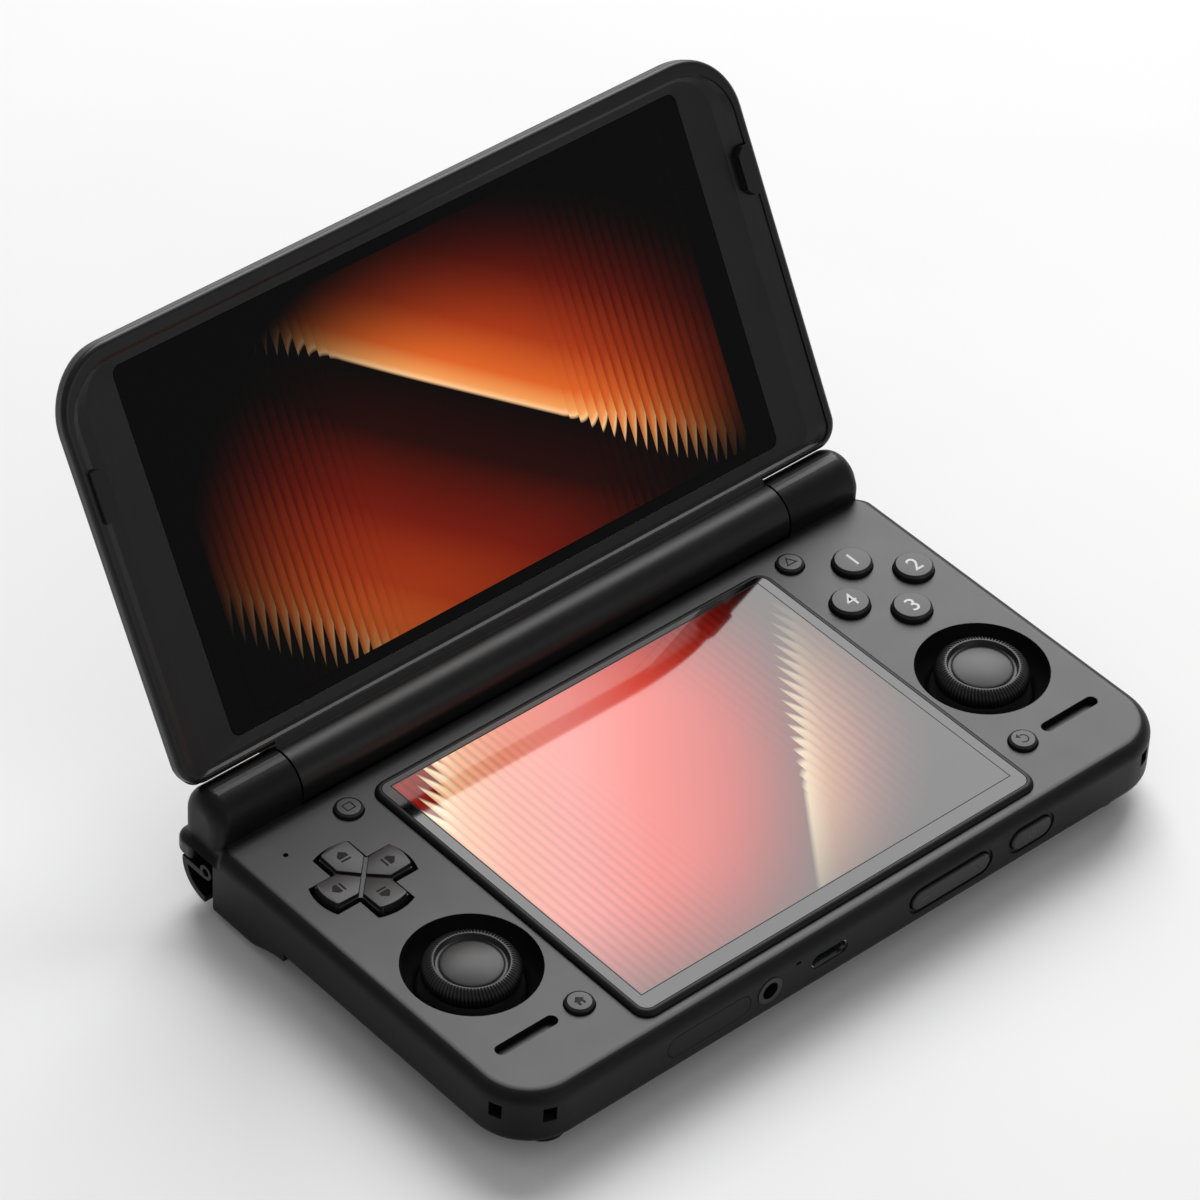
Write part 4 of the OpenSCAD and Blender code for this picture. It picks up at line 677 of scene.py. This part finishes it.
to_sign = Vector((6.6 * MM, 0, 0))  # from the rocker's middle to its plus sign
rocker = side_button("volume_rocker", 19.6)
front_mark(bar(1.7, 0.3), "minus_on_volume_rocker", "volume_rocker", rocker - to_sign)
front_mark(merged(bar(1.7, 0.3), bar(0.3, 1.7)), "plus_on_volume_rocker", "volume_rocker", rocker + to_sign)
power = side_button("power_button", 10)
front_mark(merged(ring_mark(0.8, 0.25, 120, 300), moved(bar(0.25, 0.9), (0, 0.55, 0))),
           "power_sign_on_power_button", "power_button", power)


# ---------------------------------------------------------------- covers

LEVEL, ALONG_AN_AXIS = 0.97, 0.9999  # least part of a face's normal that counts as up, or as one axis


def reshaped(node, name, body, top_finish, shaded_wall_finish, cuts, shift):
    """A merged copy of a cover, cut along planes so that it can give, with its points drawn in by shift.
    Faces that look up get the top finish, and the rest the shaded wall finish, whose darker tone is painted shade.
    Flat faces stay flat."""
    mesh = bmesh.new()
    mesh.from_mesh(cad_node[node].data)
    bmesh.ops.remove_doubles(mesh, verts=mesh.verts, dist=1e-6)
    for point, normal in cuts:
        bmesh.ops.bisect_plane(mesh, geom=mesh.verts[:] + mesh.edges[:] + mesh.faces[:], dist=1e-8,
                               plane_co=point, plane_no=normal)
    for v in mesh.verts:
        v.co += shift(v.co)
    cover = finished(mesh, name, body, top_finish, 30)
    cover.data.materials.append(shaded_wall_finish)
    for face in cover.data.polygons:
        face.use_smooth = max(abs(c) for c in face.normal) < ALONG_AN_AXIS
        # faces that don't look up get the darker wall finish: painted shade
        face.material_index = 0 if face.normal.z > LEVEL else 1
    cover.modifiers.new("even_shading", "WEIGHTED_NORMAL").keep_sharp = True
    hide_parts(node)


def ease(value, low, high):
    """0 below low, 1 above high, and a smooth rise between."""
    share = min(1, max(0, (value - low) / (high - low)))
    return share * share * (3 - 2 * share)


def drawn_in(point, amount):
    """A shift of amount mm across, towards the middle."""
    return Vector((-math.copysign(amount * MM, point.x), 0, 0))


BARREL_SHIFT, SIDE_SHIFT, HEEL_SHIFT = 1.5, 1.9, 0.75  # how far the covers' forms draw in, in mm


def barrel_end_shift(point):
    """The base's hinge barrels end a little inside its side walls, from the pockets' tops upwards."""
    x, y, z = (abs(c) / MM for c in point)
    if point.y < 0:
        return Vector()
    return drawn_in(point, BARREL_SHIFT * ease(x, 74.5, 78.5) * ease(y, 15, 18) * ease(z, 13, 13.8))


def lid_back_shift(point):
    """The lid's sides draw in towards its back, and its heel follows the hinge barrels a little."""
    from_hinge = (point - HINGE * MM) / MM
    depth, reach = from_hinge.dot(LID_BACK), from_hinge.dot(LID_REACH)
    sides = SIDE_SHIFT * ease(depth, 1.2, 5.2) * min(1, max(0, (abs(point.x) / MM - 70) / 10))
    heel = HEEL_SHIFT * ease(depth, 0.2, 2.4) * (1 - ease(reach, 6.7, 9))
    return drawn_in(point, sides) - LID_REACH * heel * MM


# The deck cover's top keeps the deck finish, and its walls get the darker case copy: painted shade on the walls
reshaped("deck_cover", "deck_cover_with_short_barrels", "base", deck_plastic, case_plastic_painted_shade,
         [((0, y * MM, 0), (0, 1, 0)) for y in (15, 15.8, 16.5, 17.2, 18)]
         + [((0, 0, z * MM), (0, 0, 1)) for z in (13.01, 13.4, 13.8)], barrel_end_shift)
reshaped("lid_back_cover", "lid_back_with_drawn_in_sides", "lid", case_plastic_painted_shade, case_plastic_painted_shade,
         [((HINGE + LID_BACK * depth) * MM, LID_BACK) for depth in (1.2, 2, 3, 4, 5.2)]
         + [((HINGE + LID_REACH * 9) * MM, LID_REACH)], lid_back_shift)


# ---------------------------------------------------------------- studio

# Pale floor of painted board, faintly mottled
floor_finish, tree, shader, place = new_finish("painted_floor")
mottle = shader_node(tree, "ShaderNodeTexNoise", {"Vector": place, "Scale": 9.0, "Detail": 3.0})
pale = stops(shader_node(tree, "ShaderNodeValToRGB", {"Fac": mottle.outputs["Fac"]}),
             (0.3, "#f4f4f4"), (0.7, "#f7f7f7"))
link(tree, pale.outputs["Color"], shader.inputs["Base Color"])
shader.inputs["Roughness"].default_value = 0.9
shader.inputs["Specular IOR Level"].default_value = 0.1
mesh = bmesh.new()
bmesh.ops.create_grid(mesh, x_segments=2, y_segments=2, size=4)
data = bpy.data.meshes.new("floor")
mesh.to_mesh(data)
mesh.free()
floor = bpy.data.objects.new("floor", data)
bpy.context.scene.collection.objects.link(floor)
data.materials.append(floor_finish)

world = bpy.data.worlds.new("studio_room")
bpy.context.scene.world = world
world.use_nodes = True
background = world.node_tree.nodes["Background"]
background.inputs["Color"].default_value = (1, 1, 1, 1)
background.inputs["Strength"].default_value = 0.3


def softbox(name, place, aim, width, height, level):
    """Soft light of the given size in metres, whose face has the given brightness, 1 being white."""
    light = bpy.data.lights.new(name, "AREA")
    light.shape, light.size, light.size_y = "RECTANGLE", width, height
    light.energy = level * math.pi * width * height
    lamp = bpy.data.objects.new(name, light)
    bpy.context.scene.collection.objects.link(lamp)
    lamp.location = place
    lamp.rotation_euler = (Vector(aim) - Vector(place)).to_track_quat("-Z", "Y").to_euler()


# The key stands behind on the right, so the deck and the lower glass mirror it softly
softbox("key_softbox", (2.15, 2.07, 2.66), (0.02, -0.03, 0.02), 3.2, 3.2, 6.0)
# A dim fill in front lights the crest round the upper screen
softbox("front_fill", (0.45, -2.7, 1.3), (0, 0, 0.05), 2.0, 1.2, 1.0)

# The camera as fitted to the photograph: focal length and sensor width in mm, place in metres
camera_data = bpy.data.cameras.new("photo_camera")
camera_data.lens, camera_data.sensor_width = 177.628, 36
camera_data.clip_start, camera_data.clip_end = 0.05, 20
camera = bpy.data.objects.new("photo_camera", camera_data)
bpy.context.scene.collection.objects.link(camera)
camera.matrix_world = Matrix((
    (0.75202624, 0.41075842, -0.51549399, -0.56331),
    (-0.65793903, 0.51485399, -0.54958312, -0.596013),
    (0.03965824, 0.75246454, 0.6574377, 0.75999),
    (0, 0, 0, 1)))
bpy.context.scene.camera = camera
bpy.context.scene.view_settings.view_transform = "Standard"
